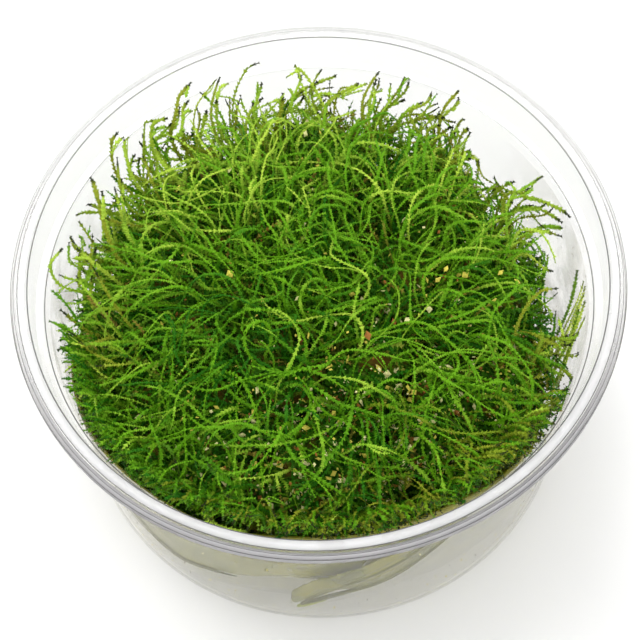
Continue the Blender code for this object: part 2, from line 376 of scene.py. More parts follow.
def leaf_nodes(tree, given, curve):
    """A pair of leaves on every step, turned against the last, smaller at the foot and at the tip."""
    steps = put(tree, "GeometryNodeResampleCurve", mode="LENGTH")
    feed(tree, steps, "Curve", curve)
    feed(tree, steps, "Length", given["Leaf Spacing"])
    along = put(tree, "FunctionNodeAlignRotationToVector", axis="Y")
    feed(tree, along, "Vector", put(tree, "GeometryNodeInputTangent").outputs[0])
    index = put(tree, "GeometryNodeInputIndex").outputs[0]
    side = math_node(tree, "MULTIPLY", math_node(tree, "MODULO", index, 2.0), PAIR_TURN)
    wobble = random_between(tree, -0.35, 0.35, given["Seed"])
    angle = math_node(tree, "ADD", math_node(tree, "ADD", side, wobble), attribute(tree, "twist"))
    spin = put(tree, "FunctionNodeAxisAngleToRotation")
    feed(tree, spin, "Axis", (0.0, 1.0, 0.0))
    feed(tree, spin, "Angle", angle)
    turned = put(tree, "FunctionNodeRotateRotation", rotation_space="LOCAL")
    feed(tree, turned, "Rotation", along.outputs[0])
    feed(tree, turned, "Rotate By", spin.outputs[0])
    full = math_node(tree, "MULTIPLY", given["Leaf Length"], random_between(tree, 0.75, 1.2, 3))
    full = math_node(tree, "MULTIPLY", full, attribute(tree, "stout"))
    ending = ranged(tree, attribute(tree, "along"), 0.90, 1.0, 1.0, 0.65)
    starting = ranged(tree, attribute(tree, "along"), 0.0, 0.12, 0.5, 1.0)
    size = math_node(tree, "MULTIPLY", math_node(tree, "MULTIPLY", full, ending), starting)
    shape = put(tree, "GeometryNodeObjectInfo")
    feed(tree, shape, "Object", given["Leaf"])
    stood = put(tree, "GeometryNodeInstanceOnPoints")
    feed(tree, stood, "Points", steps.outputs[0])
    feed(tree, stood, "Instance", shape.outputs["Geometry"])
    feed(tree, stood, "Rotation", turned.outputs[0])
    feed(tree, stood, "Scale", size)
    return stood.outputs[0]


SHOOTS = shoot_tree()
print("shoot tree:", len(SHOOTS.nodes), "nodes")


# %% Run a tree on a guide and keep the plain mesh
def guides_object(name, groups):
    """Loose edges along paths. Each group is (paths, numbers): paths is (count, points, 3), and numbers
    has arrays with one value a path or one a point."""
    mesh = bpy.data.meshes.new(name)
    points, edges, values, first = [], [], {}, 0
    for paths, numbers in groups:
        count, length, _ = paths.shape
        starts = first + np.arange(count)[:, None] * length + np.arange(length - 1)[None, :]
        edges.append(np.stack([starts, starts + 1], axis=-1).reshape(-1, 2))
        points.append(paths.reshape(-1, 3))
        for label, array in numbers.items():
            full = array if array.ndim == 2 else np.repeat(array[:, None], length, axis=1)
            values.setdefault(label, []).append(full.reshape(-1))
        first += count * length
    mesh.from_pydata(np.concatenate(points).tolist(), np.concatenate(edges).tolist(), [])
    for label, arrays in values.items():
        layer = mesh.attributes.new(label, "FLOAT", "POINT")
        layer.data.foreach_set("value", np.concatenate(arrays).astype(np.float32))
    return linked(name, mesh)


def evaluated_mesh(obj):
    """A plain mesh of what the object's modifiers or its bevel make of it."""
    graph = bpy.context.evaluated_depsgraph_get()
    return bpy.data.meshes.new_from_object(obj.evaluated_get(graph))


def run_tree(guide, tree, name, **inputs):
    """Applies the tree with these inputs and returns the result as an object with a plain mesh."""
    modifier = guide.modifiers.new("tree", "NODES")
    modifier.node_group = tree
    sockets = {item.name: item.identifier for item in tree.interface.items_tree if item.in_out == "INPUT"}
    for label, value in inputs.items():
        modifier[sockets[label.replace("_", " ")]] = value
    mesh = evaluated_mesh(guide)
    mesh.name = name
    bpy.data.objects.remove(guide)
    return linked(name, mesh)


def triangles(obj):
    obj.data.calc_loop_triangles()
    return len(obj.data.loop_triangles)


# %% [markdown]
# ## How a shoot grows
#
# Each shoot starts in the mat, climbs towards the light, and bends over when it reaches the top of
# the clump. From there it wanders along the surface, mostly outwards. Near the wall more shoots
# stay upright, so their tips stand free, and near the middle some curl into rings.
#
# The paths are worked out for all shoots at once. At every step a shoot turns a little towards
# where it wants to go, plus a slow wander of its own, and it is pressed back where it would leave
# the tub. Numbers in this part are in millimetres, because that is the scale of the thing.

# %% Top of the clump and flow over it
CLUMP_RADIUS_MM = 39.0
CROWN_MM = 45.6
FULL_TURN = 6.28
TINY = 1e-6


def top_of_clump(x, y):
    """Height in millimetres of the clump's surface: a dome with hollows, but level towards the front."""
    radius = np.hypot(x, y)
    front = np.clip((-y - 8.0) / 24.0, 0.0, 1.0)
    fall = 9.0 * np.clip(radius / 36.0, 0.0, 1.2) ** 4 * (1.0 - front)
    inner = np.clip((36.0 - radius) / 10.0, 0.0, 1.0)
    lumps = 2.0 * np.sin(x / 5.3 + 1.0) * np.cos(y / 5.6 - 0.6) + 1.2 * np.sin((x + y) / 3.7)
    return CROWN_MM - fall - 0.8 * front + inner * lumps


def over_front_edge(place):
    """Rises to 0.85 where shoots crowd up over the gel's edge at the front."""
    out = np.clip((np.hypot(place[:, 0], place[:, 1]) - 33.0) / 8.0, 0.0, 1.0)
    return 0.85 * out * np.clip((-place[:, 1] - 8.0) / 14.0, 0.0, 1.0)


def turned_on_plan(x, y, angle):
    """A direction on plan, turned to the left by an angle in radians."""
    return x * np.cos(angle) - y * np.sin(angle), x * np.sin(angle) + y * np.cos(angle)


def flow_over_clump(x, y, own):
    """Direction on plan in which a shoot at x, y runs: outwards, stirred by a slow swirl."""
    radius = np.hypot(x, y) + TINY
    out = np.clip(radius / 26.0, 0.15, 1.0)
    swirl = 1.8 * np.sin(x / 11.0 + 0.7) + 1.8 * np.cos(y / 9.0 - 0.4) + own
    fx = out * x / radius + (1.2 - out) * np.cos(swirl)
    fy = out * y / radius + (1.2 - out) * np.sin(swirl)
    fx, fy = turned_on_plan(fx, fy, 0.9 * own)
    size = np.hypot(fx, fy) + TINY
    return fx / size, fy / size


print("the crown stands", round(float(top_of_clump(0.0, 0.0)), 1), "mm high")


# %% Paths of many shoots at once
STEP_MM = 1.0
TURN_TO_GOAL = 0.17
KINK = 0.07
SPREAD_OF_LEAN = 0.17
LEVELS_OUT_WITHIN_MM = 7.0
INSET_MM = 7.0
PRESSED_MM = 1.5
SHORTEST_MM = 12.0


def grow(feet, rng, length, depth, upright, curl):
    """Paths in metres, (count, points, 3). Feet are in millimetres; the rest is one number a shoot.

    Depth is how far under the surface a shoot levels out, upright keeps it from bending over, and
    curl is a steady turn on plan that makes rings. Once a shoot has been pressed back by more than
    PRESSED_MM in all it ends, if it is long enough, so that no tangle piles up along the outline.
    """
    count = len(feet)
    steps = int(np.ceil(length.max() / STEP_MM))
    place = feet.copy()
    radius = np.hypot(feet[:, 0], feet[:, 1]) + TINY
    lean = (0.08 + 0.42 * (radius / CLUMP_RADIUS_MM) ** 2)[:, None]
    drift = lean * feet[:, :2] / radius[:, None] + rng.normal(0.0, SPREAD_OF_LEAN, (count, 2))
    way = np.column_stack([drift, np.ones(count)])
    own = rng.normal(0.0, 0.55, count)
    waves = rng.uniform(0.12, 0.40, (count, 3))
    phases = rng.uniform(0.0, FULL_TURN, (count, 3))
    wander = rng.uniform(0.04, 0.17, count)
    kinks = rng.uniform(0.7, 1.3, (count, 3))
    inset = INSET_MM * rng.random(count) ** 1.6
    pressed = np.zeros(count)
    reach = length.copy()
    paths = [place.copy()]
    for step in range(steps):
        surface = top_of_clump(place[:, 0], place[:, 1])
        above = place[:, 2] - surface + depth * (1.0 - over_front_edge(place))
        near = np.clip((above + LEVELS_OUT_WITHIN_MM) / LEVELS_OUT_WITHIN_MM, 0.0, 1.0)
        near = near * near * (3.0 - 2.0 * near)
        flow = np.column_stack(flow_over_clump(place[:, 0], place[:, 1], own))
        level = (near * (1.0 - upright))[:, None]
        sink = np.clip((above - 0.5) / 2.0, 0.0, 1.0) * (1.0 - upright)
        goal = np.column_stack([level * flow + (1.0 - level) * drift, 1.0 - level[:, 0] - sink])
        stray = wander[:, None] * np.sin(waves * step + phases)
        way += STEP_MM * (TURN_TO_GOAL * (goal - way) + stray)
        way += KINK * np.sin(kinks * step + 3.0 * phases)
        way[:, :2] = np.column_stack(turned_on_plan(way[:, 0], way[:, 1], curl * near))
        way /= np.linalg.norm(way, axis=1)[:, None]
        free = place + STEP_MM * way
        place = held_in_tub(free, inset)
        pressed += np.linalg.norm(place - free, axis=1)
        reach = np.where((pressed > PRESSED_MM) & (reach > step), np.maximum(step, SHORTEST_MM), reach)
        paths.append(place.copy())
    return cut_to_length(np.stack(paths, axis=1), reach) * MM


# %% Outline of the clump, inside which every shoot is held
RAGGED_MM = 41.6
OUTLINE_AT_FRONT_MM = 46.0
GEL_TOP_MM = 38.0
HIGHEST_MM = 48.3
OFF_WALL_MM = 0.8
OFF_GEL_MM = 2.4
HOLLOWS = (
    # Where the clump's edge draws back: angle and width in degrees, depth in millimetres
    (128.0, 17.0, 6.5),
    (172.0, 9.0, 3.0),
    (-141.0, 8.0, 5.0),
    (78.0, 7.0, 5.0),
    (93.0, 9.0, 2.5),
)


def outline_of_clump(angle):
    """Radius in millimetres that the tips reach at each angle, in degrees from the front."""
    turn = np.radians(angle)
    ragged = RAGGED_MM + 1.5 * np.sin(5.0 * turn + 1.0) + 1.1 * np.sin(11.0 * turn)
    ragged = ragged + 0.7 * np.sin(23.0 * turn)
    for place, width, depth in HOLLOWS:
        ragged = ragged - depth * np.exp(-(((angle - place) / width) ** 2))
    front = np.clip((80.0 - np.abs(angle - 2.0)) / 22.0, 0.0, 1.0)
    return ragged + (OUTLINE_AT_FRONT_MM - ragged) * front


def held_in_tub(place, inset=0.0):
    """Presses points back inside the wall, the gel and the clump's outline, and under HIGHEST_MM."""
    radius = np.hypot(place[:, 0], place[:, 1]) + TINY
    angle = np.degrees(np.arctan2(place[:, 0], -place[:, 1]))
    behind_gel = (angle > -75) & (angle < 48) & (place[:, 2] < GEL_TOP_MM)
    wall = wall_radius(place[:, 2] * MM) / MM - np.where(behind_gel, OFF_GEL_MM, OFF_WALL_MM)
    share = np.minimum(1.0, np.minimum(wall, outline_of_clump(angle) - inset) / radius)
    out = place.copy()
    out[:, :2] *= share[:, None]
    out[:, 2] = np.clip(out[:, 2], MAT_TOP / MM - 1.0, HIGHEST_MM)
    return out


def cut_to_length(paths, length):
    """Resamples every path so that the same number of points ends at its own length."""
    count, points, _ = paths.shape
    share = np.linspace(0.0, 1.0, points)
    at = share[None, :] * (length / STEP_MM)[:, None]
    low = np.minimum(at.astype(int), points - 2)
    part = (at - low)[..., None]
    rows = np.arange(count)[:, None]
    return paths[rows, low] * (1.0 - part) + paths[rows, low + 1] * part


print("the clump's edge draws back at", len(HOLLOWS), "places")


# %% [markdown]
# ## The tufts
#
# The clump pulls apart into tufts: one in the middle, a ring around it and a ring along the wall.
# Each tuft's shoots start inside the outline of its own solid, so that a tuft lifted out of the
# clump is still whole.

# %% Where each tuft's shoots start
TUFTS = sorted(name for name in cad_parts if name.startswith("tuft_") and name != "tuft_wall")
SHOOTS_PER_MM2 = 0.475
INNER_MM = 27.0
BURIED_MM = 11.0
INSIDE_ABOVE_MAT = 4.0 * MM
STOUTNESS = (0.62, 1.1)


def feet_in_tuft(name, rng):
    """Random points on plan inside the tuft's solid, by rejection, with a count that fits its area."""
    low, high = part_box(name)
    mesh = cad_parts[name].data
    tree = bvhtree.BVHTree.FromPolygons([v.co for v in mesh.vertices], [p.vertices for p in mesh.polygons])
    area = (high.x - low.x) * (high.y - low.y) / MM**2
    tries = rng.uniform((low.x, low.y), (high.x, high.y), (int(area * SHOOTS_PER_MM2), 2))
    up = Vector((0, 0, 1))
    height = MAT_TOP + INSIDE_ABOVE_MAT
    inside = [place for place in tries if tree.ray_cast(Vector((*place, height)), up)[0] is not None]
    feet = np.array([(x, y, MAT_TOP) for x, y in inside]) / MM
    feet[:, 2] += rng.uniform(-0.5, 2.5, len(feet))
    feet[:, 2] += BURIED_MM * (np.hypot(feet[:, 0], feet[:, 1]) < INNER_MM)
    return feet


def numbers_for(paths, tone, rng, dusk):
    """The numbers that a shoot carries: along, tone, dusk, the turn of its leaf rows and its stoutness."""
    count, points, _ = paths.shape
    along = np.repeat(np.linspace(0.0, 1.0, points)[None, :], count, axis=0)
    twist = rng.normal(0.0, 0.7, count)
    stout = rng.uniform(*STOUTNESS, count)
    return {"along": along, "tone": tone, "dusk": dusk, "twist": twist, "stout": stout}


print(len(TUFTS), "tufts")

# %% Side shoots
BRANCH_POINTS = 8
BRANCH_MM = (2.5, 8.0)
BRANCH_FROM = (0.55, 0.95)


def branches(paths, numbers, parents, rng):
    """Short side shoots near the ends of these parents: straight out at first, then along them."""
    points = paths.shape[1]
    count = len(parents)
    at = (rng.uniform(*BRANCH_FROM, count) * (points - 2)).astype(int)
    start = paths[parents, at]
    ahead = paths[parents, at + 1] - start
    ahead /= np.linalg.norm(ahead, axis=1)[:, None] + 1e-9
    side = rng.normal(0.0, 1.0, (count, 3))
    side -= ahead * (side * ahead).sum(axis=1)[:, None]
    side /= np.linalg.norm(side, axis=1)[:, None] + 1e-9
    share = np.linspace(0.0, 1.0, BRANCH_POINTS)[None, :, None]
    reach = rng.uniform(*BRANCH_MM, (count, 1, 1)) * MM
    bend = rng.normal(0.0, 0.22, (count, 1, 3))
    leaving = (0.85 * ahead + 0.60 * side)[:, None, :]
    curve = share * leaving + share**2 * (bend - 0.25 * side[:, None, :])
    made = start[:, None, :] + reach * curve
    made = held_in_tub(made.reshape(-1, 3) / MM).reshape(made.shape) * MM
    own = {label: array[parents] for label, array in numbers.items() if array.ndim == 1}
    own["stout"] = own["stout"] * 0.85
    own["dusk"] = own["dusk"] * 0.5
    own["along"] = np.repeat(np.linspace(0.45, 1.0, BRANCH_POINTS)[None, :], count, axis=0)
    return made, own


print("a side shoot is", BRANCH_MM[0], "to", BRANCH_MM[1], "mm long")

# %% [markdown]
# ## The fringe and the front edge
#
# At the sides and at the back stout old shoots stand free of the clump's edge, bent and olive, with
# dark tips. At the front it is the other way round: short shoots crowd over the gel's edge, right
# up to the rim. Growing either from the mat would take luck, so both are drawn by a formula, as the
# tuft on the wall is further down: from a start near the edge, outwards and up, with a wave in it.
#
# At the front right more than half of the shoots have turned olive. A *dusk* above 1 does that.


# %% Fringe at the sides and the back
FRINGED = ("tuft_left", "tuft_back_left", "tuft_back", "tuft_back_right", "tuft_right")
FRINGE_PER_TUFT = 34
FRINGE_POINTS = 14
FRINGE_FOOT_MM = (31.0, 36.5)
FRINGE_REACH_MM = (4.0, 9.0)
FRINGE_LOW_MM = (31.0, 39.5)
FRINGE_RISE_MM = (3.0, 15.0)
FRINGE_PAST_OUTLINE_MM = 2.0
WALL_TUFT_STANDS = (-0.36, 0.06)


def round_axis(radius, turn, height):
    """Paths in the units of radius and height, from polar places."""
    return np.stack([radius * np.cos(turn), radius * np.sin(turn), height], axis=-1)


def waves_along(share, rng, fastest):
    """A wave of its own for every shoot of the fringe, nothing at the foot."""
    return np.sin(share * rng.uniform(2.0, fastest, (FRINGE_PER_TUFT, 1)))


def fringe(name, rng):
    """Stout bent shoots that stand free of the clump's edge, but not where the wall tuft stands."""
    low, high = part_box(name)
    middle = (low + high) / 2 / MM
    count = FRINGE_PER_TUFT
    column = (count, 1)
    share = np.linspace(0.0, 1.0, FRINGE_POINTS)[None, :]
    turn = math.atan2(middle.y, middle.x) + rng.uniform(-0.42, 0.42, column)
    foot = rng.uniform(*FRINGE_FOOT_MM, column)
    reach = rng.uniform(*FRINGE_REACH_MM, column)
    radius = foot + reach * share + rng.normal(0.0, 1.4, column) * waves_along(share, rng, 4.5)
    low_z = rng.uniform(*FRINGE_LOW_MM, column)
    rise = rng.uniform(*FRINGE_RISE_MM, column)
    height = low_z + rise * share**0.8 + rng.normal(0.0, 1.3, column) * waves_along(share, rng, 5.0)
    swing = turn + rng.normal(0.0, 0.12, column) * share + 0.05 * waves_along(share, rng, 5.0)
    places = round_axis(radius, swing, height)
    paths = held_in_tub(places.reshape(-1, 3), -FRINGE_PAST_OUTLINE_MM).reshape(places.shape) * MM
    tone = np.clip(rng.normal(0.80, 0.15, count), 0.0, 1.0)
    numbers = numbers_for(paths, tone, rng, rng.uniform(1.1, 2.0, count))
    numbers["stout"] = rng.uniform(0.85, 1.35, count)
    numbers["along"] = 0.25 + 0.75 * numbers["along"]
    clear = (turn[:, 0] < WALL_TUFT_STANDS[0]) | (turn[:, 0] > WALL_TUFT_STANDS[1])
    return paths[clear], {label: array[clear] for label, array in numbers.items()}


print("fringe:", FRINGE_PER_TUFT, "shoots on each of", len(FRINGED), "tufts, fewer beside the wall tuft")

# %% Front edge
EDGE_POINTS = 10
EDGE_LOW_MM = (34.0, 39.0)
EDGE_HIGH_MM = (42.5, 46.2)
EDGE_NEAR_MM = (39.0, 42.4)
EDGE_FAR_MM = (43.6, 45.8)
FRONT_DEGREES = (-80, 52)


def at_front(feet):
    """True for feet behind the gel's torn front edge."""
    angle = np.degrees(np.arctan2(feet[:, 0], -feet[:, 1]))
    return (angle > FRONT_DEGREES[0]) & (angle < FRONT_DEGREES[1])


def turned_olive(feet, rng):
    """Extra dusk for the shoots at the front right, more than half of which have turned olive."""
    golden = np.clip((0.6 * feet[:, 0] - feet[:, 1] - 20.0) / 14.0, 0.0, 1.0)
    return (rng.random(len(feet)) < 0.65 * golden) * rng.uniform(0.6, 1.2, len(feet))


def over_the_edge(feet, rng):
    """Short shoots that crowd over the gel's edge to the rim: out and up, with a slight turn."""
    count = len(feet)
    column = (count, 1)
    share = np.linspace(0.0, 1.0, EDGE_POINTS)[None, :]
    turn = np.arctan2(feet[:, 1], feet[:, 0])[:, None] + rng.normal(0.0, 0.05, column)
    beside = np.clip((np.abs(turn + math.pi / 2) - 0.90) / 0.35, 0.0, 1.0)
    turn = turn + rng.normal(0.0, 0.07, column) * share
    low = rng.uniform(*EDGE_LOW_MM, column)
    high = rng.uniform(*EDGE_HIGH_MM, column)
    near = rng.uniform(*EDGE_NEAR_MM, column) - beside
    far = rng.uniform(*EDGE_FAR_MM, column) - 1.9 * beside
    height = low + (high - low) * np.sin(share * math.pi / 2)
    paths = round_axis(near + (far - near) * share**1.6, turn, height) * MM
    tone = np.clip(rng.normal(0.35, 0.2, count), 0.0, 1.0)
    numbers = numbers_for(paths, tone, rng, rng.uniform(0.3, 1.0, count) + turned_olive(feet, rng))
    numbers["along"] = 0.3 + 0.7 * numbers["along"]
    return paths, numbers


print("front edge: from", FRONT_DEGREES[0], "to", FRONT_DEGREES[1], "degrees, seen from the front")

# %% [markdown]
# ## Four kinds of shoot
#
# Most shoots are long and lie over the clump. Among them are short fillers, which stay deep between
# the others, shoots that stand upright, mostly near the wall, and near the middle a few very long
# ones that curl into rings. Which one a foot gets is drawn by lot, with odds that depend on where it
# is. Its tone depends on the same things: deep and shaded places are darker.

# %% Habits and tones
LONG_MM = (26.0, 44.0)
FILLER_MM = (14.0, 22.0)
STANDING_MM = (16.0, 28.0)
RING_MM = (40.0, 54.0)
FILLER_SHARE = 0.22
RING_SHARE = 0.20
DEEPEST_MM = 9.0
FILLER_DEPTH_MM = (6.0, 11.0)
CURL_SPREAD = 0.055
RING_CURL = (0.12, 0.21)


def from_axis(feet):
    """How far each foot is from the tub's axis, on plan."""
    return np.hypot(feet[:, 0], feet[:, 1])


def near_edge(feet):
    """Rises from 0 inside the clump to 1 at its edge."""
    return np.clip((from_axis(feet) - 26.0) / 9.0, 0.0, 1.0)


def near_front(feet):
    """Rises from 0 at the middle to 1 towards the front."""
    return np.clip((-feet[:, 1] - 12.0) / 14.0, 0.0, 1.0)


def habits(feet, rng):
    """Length, depth, uprightness and curl for each foot, and which of the shoots stand."""
    count = len(feet)
    inner = from_axis(feet) < INNER_MM
    front = near_front(feet)
    filler = rng.random(count) < FILLER_SHARE
    standing = ~filler & (rng.random(count) < 0.04 + 0.42 * near_edge(feet) * (1.0 - front))
    ring = ~filler & ~standing & (rng.random(count) < RING_SHARE) & inner
    length = rng.uniform(*LONG_MM, count) - 6.0 * front
    for kind, kind_mm in ((filler, FILLER_MM), (standing, STANDING_MM), (ring, RING_MM)):
        length[kind] = rng.uniform(*kind_mm, kind.sum())
    length -= BURIED_MM * inner
    length = np.maximum(length, 8.0)
    depth = DEEPEST_MM * rng.random(count) ** 1.5
    depth[filler] = rng.uniform(*FILLER_DEPTH_MM, filler.sum())
    depth[ring] *= 0.3
    upright = np.where(standing, rng.uniform(0.8, 1.0, count), 0.0)
    curl = rng.normal(0.0, CURL_SPREAD, count)
    curl[ring] = rng.choice([-1.0, 1.0], ring.sum()) * rng.uniform(*RING_CURL, ring.sum())
    return length, depth, upright, curl, standing


def tones(feet, depth, standing, rng):
    """Lighter at the back and where shoots stand, darker deep down, at the middle and at the right."""
    x, y, _ = feet.T
    own = rng.normal(0.0, 0.14, len(feet))
    # The depth term darkens shoots that level out deep in the clump: painted shade between the shoots.
    tone = np.clip(0.68 - 0.07 * depth + own - 0.10 * near_front(feet), 0.0, 1.0)
    patches = np.sin(x / 6.5 + 0.4) * np.cos(y / 7.5 + 1.0)
    shade = 0.16 * np.clip((y - 2.0) / 28.0, -0.4, 1.0) - 0.16 * np.exp(-((from_axis(feet) / 17.0) ** 2))
    shade -= 0.14 * np.clip((x - 22.0) / 10.0, 0.0, 1.0)
    shade += 0.10 * near_edge(feet) * np.clip(y / 20.0, 0.0, 1.0)
    return np.clip(tone + 0.17 * patches + shade + 0.15 * standing, 0.0, 1.0)


def dusks(feet, rng):
    """Darker tips towards the edge, and some shoots there past 1, which turns them olive."""
    edge = near_edge(feet)
    dusk = np.clip(rng.normal(0.2, 0.2, len(feet)) + 0.9 * edge, 0.0, 1.0)
    return dusk + 0.7 * edge * rng.random(len(feet)) * (dusk > 0.9) + turned_olive(feet, rng)


print("one shoot in", round(1 / FILLER_SHARE), "is a filler")

# %% Grow every tuft
LEAF = dict(
    Leaf=leaf_pair,
    Leaf_Length=0.80 * MM,
    Leaf_Spacing=0.39 * MM,
    Stem_Radius=0.11 * MM,
    Stem_Step=2.2 * MM,
)
BRANCH_ROUNDS = 2
EDGE_FROM_MM = 29.0


def lot(chance, count, rng):
    """True for each of count shoots with this chance."""
    return rng.random(count) < chance


def build_shoots(name, seed):
    rng = np.random.default_rng(seed)
    feet = feet_in_tuft(name, rng)
    count = len(feet)
    length, depth, upright, curl, standing = habits(feet, rng)
    paths = grow(feet, rng, length, depth, upright, curl)
    tone = tones(feet, depth, standing, rng)
    numbers = numbers_for(paths, tone, rng, dusks(feet, rng))
    numbers["stout"] *= 1.0 + 0.25 * standing
    groups = [(paths, numbers)]
    forking = lot(0.22 + 0.28 * near_edge(feet), count, rng)
    for _ in range(BRANCH_ROUNDS):
        groups.append(branches(paths, numbers, np.flatnonzero(forking & lot(0.75, count, rng)), rng))
    rim = np.flatnonzero((from_axis(feet) > EDGE_FROM_MM) & lot(0.95, count, rng) & at_front(feet))
    if len(rim):
        groups.append(over_the_edge(feet[rim], rng))
    if name in FRINGED:
        bent, bent_numbers = fringe(name, rng)
        groups.append((bent, bent_numbers))
        groups.append(branches(bent, bent_numbers, np.flatnonzero(lot(0.6, len(bent), rng)), rng))
    guide = guides_object(name + "_guides", groups)
    made = run_tree(guide, SHOOTS, name + "_shoots", Seed=seed, Material=fresh_moss, **LEAF)
    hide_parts(name)
    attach(made, "root")
    return count, triangles(made)


totals = [build_shoots(name, SEED + index) for index, name in enumerate(TUFTS)]
counts, sizes = zip(*totals)
print(sum(counts), "shoots,", sum(sizes), "triangles; most in a tuft:", max(sizes))

# %% [markdown]
# ## The felt inside
#
# Under the fresh shoots a clump is a felt of older growth, too dense to see through. Its thousands
# of hidden threads would double the weight of the model, so a rough body fills the inside of each
# tuft. It is the tuft's own solid, made smaller, cut into even facets and roughened, and old sprigs
# lie all over it, so that no smooth skin shows in the gaps between the shoots. Its very dark green
# is partly painted shade, for the shade deep in those gaps.

# %% Felt body of each tuft
FELT_SHRINK = 0.93
FELT_HEIGHT = 0.62
FELT_SPREAD = 0.94
FRINGED_FELT_SPREAD = 0.87
FACET = 1.2 * MM
FELT_ROUGH_MM = 1.3
MERGE_WITHIN = 0.01 * MM


def merged_copy(name, label):
    """The solid's mesh with its loose triangles joined, as a new object."""
    bm = bmesh.new()
    bm.from_mesh(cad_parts[name].data)
    bmesh.ops.remove_doubles(bm, verts=bm.verts[:], dist=MERGE_WITHIN)
    bmesh.ops.recalc_face_normals(bm, faces=bm.faces[:])
    mesh = bpy.data.meshes.new(label)
    bm.to_mesh(mesh)
    bm.free()
    return linked(label, mesh)


def plain_mesh(obj):
    """Applies the object's modifiers."""
    mesh = evaluated_mesh(obj)
    obj.modifiers.clear()
    obj.data = mesh


def build_felt(name, shrink=FELT_SHRINK, height=FELT_HEIGHT, spread=FELT_SPREAD):
    """A rough body from the solid: drawn in towards its own middle and the tub's, and lowered."""
    felt = merged_copy(name, name + "_felt")
    low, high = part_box(name)
    centre = (low + high) / 2
    for vertex in felt.data.vertices:
        x = centre.x + shrink * (vertex.co.x - centre.x)
        y = centre.y + shrink * (vertex.co.y - centre.y)
        z = MAT_TOP + height * (vertex.co.z - MAT_TOP)
        vertex.co = (spread * x, spread * y, z)
    remesh = felt.modifiers.new("facets", "REMESH")
    remesh.mode = "VOXEL"
    remesh.voxel_size = FACET
    plain_mesh(felt)
    normals = [v.normal.copy() for v in felt.data.vertices]
    for vertex, normal in zip(felt.data.vertices, normals):
        rough = noise.noise(vertex.co / (3.0 * MM)) + 0.5 * noise.noise(vertex.co / (1.3 * MM))
        vertex.co = vertex.co + normal * FELT_ROUGH_MM * MM * rough
    felt.data.materials.clear()
    felt.data.materials.append(felt_and_painted_shade)
    return felt


def build_felt_material():
    """Mottled dark greens and browns, rough, with no gloss. The darkest green is partly painted shade for
    the deep gaps between the shoots.
    """
    material, tree, shader = new_material("felt_and_painted_shade", (0.02, 0.07, 0.008), 0.9, Specular_IOR_Level=0.05)
    place = object_place(tree)
    patches = noise_value(tree, place, 260.0, 3.0)
    fine = noise_value(tree, place, 1500.0, 2.0)
    # The near-black green is the colour of old growth and also painted shade for the deep gaps.
    dark = (0.014, 0.060, 0.003, 1.0)
    green = (0.060, 0.210, 0.010, 1.0)
    brown = (0.150, 0.065, 0.014, 1.0)
    grown = mix_colors(tree, ranged(tree, fine, 0.40, 0.62), dark, green)
    rusty = math_node(tree, "MULTIPLY", ranged(tree, patches, 0.55, 0.68), 0.8)
    feed(tree, shader, "Base Color", mix_colors(tree, rusty, grown, brown))
    return material


felt_and_painted_shade = build_felt_material()
felts = [build_felt(name, spread=FRINGED_FELT_SPREAD if name in FRINGED else FELT_SPREAD) for name in TUFTS]
mat_felt = build_felt("moss_mat", shrink=0.99, height=1.0, spread=1.0)
print("felt:", sum(triangles(felt) for felt in [*felts, mat_felt]), "triangles")

# %% [markdown]
# ## Old sprigs on the felt
#
# Old shoots lie on the felt and give it a pile. They grow from its own vertices, along its skin, and
# they run through the same tree as the fresh ones, with longer leaves further apart. On the mat only
# its outer edge carries sprigs, because the tufts hide the rest of it.

# %% Short old sprigs lying on the felt
SPRIG_MM = 9.0
SPRIG_LEAVES = {"Leaf_Spacing": 0.6 * MM, "Leaf_Length": 1.1 * MM}
VERTICES_PER_SPRIG = 9
MAT_SPRIGS_FROM_MM = 38.5


def sprig_paths(felt, skin, count, rng):
    """Short bent threads that start at these vertices of the felt's skin and lie along it."""
    mesh = felt.data
    chosen = skin[rng.integers(0, len(skin), count)]
    place = np.array([mesh.vertices[i].co for i in chosen.tolist()]) / MM
    normal = np.array([mesh.vertices[i].normal for i in chosen.tolist()])
    way = rng.normal(0.0, 1.0, (count, 3))
    way -= normal * (way * normal).sum(axis=1)[:, None]
    way /= np.linalg.norm(way, axis=1)[:, None] + TINY
    bend = rng.normal(0.0, 0.16, (count, 3))
    paths = [place - 0.4 * normal]
    for step in range(int(SPRIG_MM)):
        rise = 0.55 - 0.10 * step
        way = way + bend
        way /= np.linalg.norm(way, axis=1)[:, None]
        paths.append(held_in_tub(paths[-1] + STEP_MM * (way + rise * normal)))
    return np.stack(paths, axis=1) * MM


def build_sprigs(name, felt, seed, from_mm=0.0):
    """One sprig to every few vertices that are at least this far from the tub's axis."""
    rng = np.random.default_rng(seed)
    skin = np.array([v.index for v in felt.data.vertices if math.hypot(v.co.x, v.co.y) >= from_mm * MM])
    paths = sprig_paths(felt, skin, len(skin) // VERTICES_PER_SPRIG, rng)
    tone = rng.uniform(0.0, 1.0, len(paths)) ** 1.5
    guide = guides_object(name + "_sprig_guides", [(paths, numbers_for(paths, tone, rng, tone * 0.3))])
    sizes = {**LEAF, **SPRIG_LEAVES}
    return run_tree(guide, SHOOTS, name + "_sprigs", Seed=seed, Material=old_moss, **sizes)


sprigs = [build_sprigs(name, felt, SEED + 50 + i) for i, (name, felt) in enumerate(zip(TUFTS, felts))]
mat_sprigs = build_sprigs("moss_mat", mat_felt, SEED + 49, MAT_SPRIGS_FROM_MM)
for name, felt, sprig in zip([*TUFTS, "moss_mat"], [*felts, mat_felt], [*sprigs, mat_sprigs]):
    for piece in (felt, sprig):
        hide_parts(name)
        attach(piece, "root")
print("sprigs:", sum(triangles(piece) for piece in [*sprigs, mat_sprigs]), "triangles")

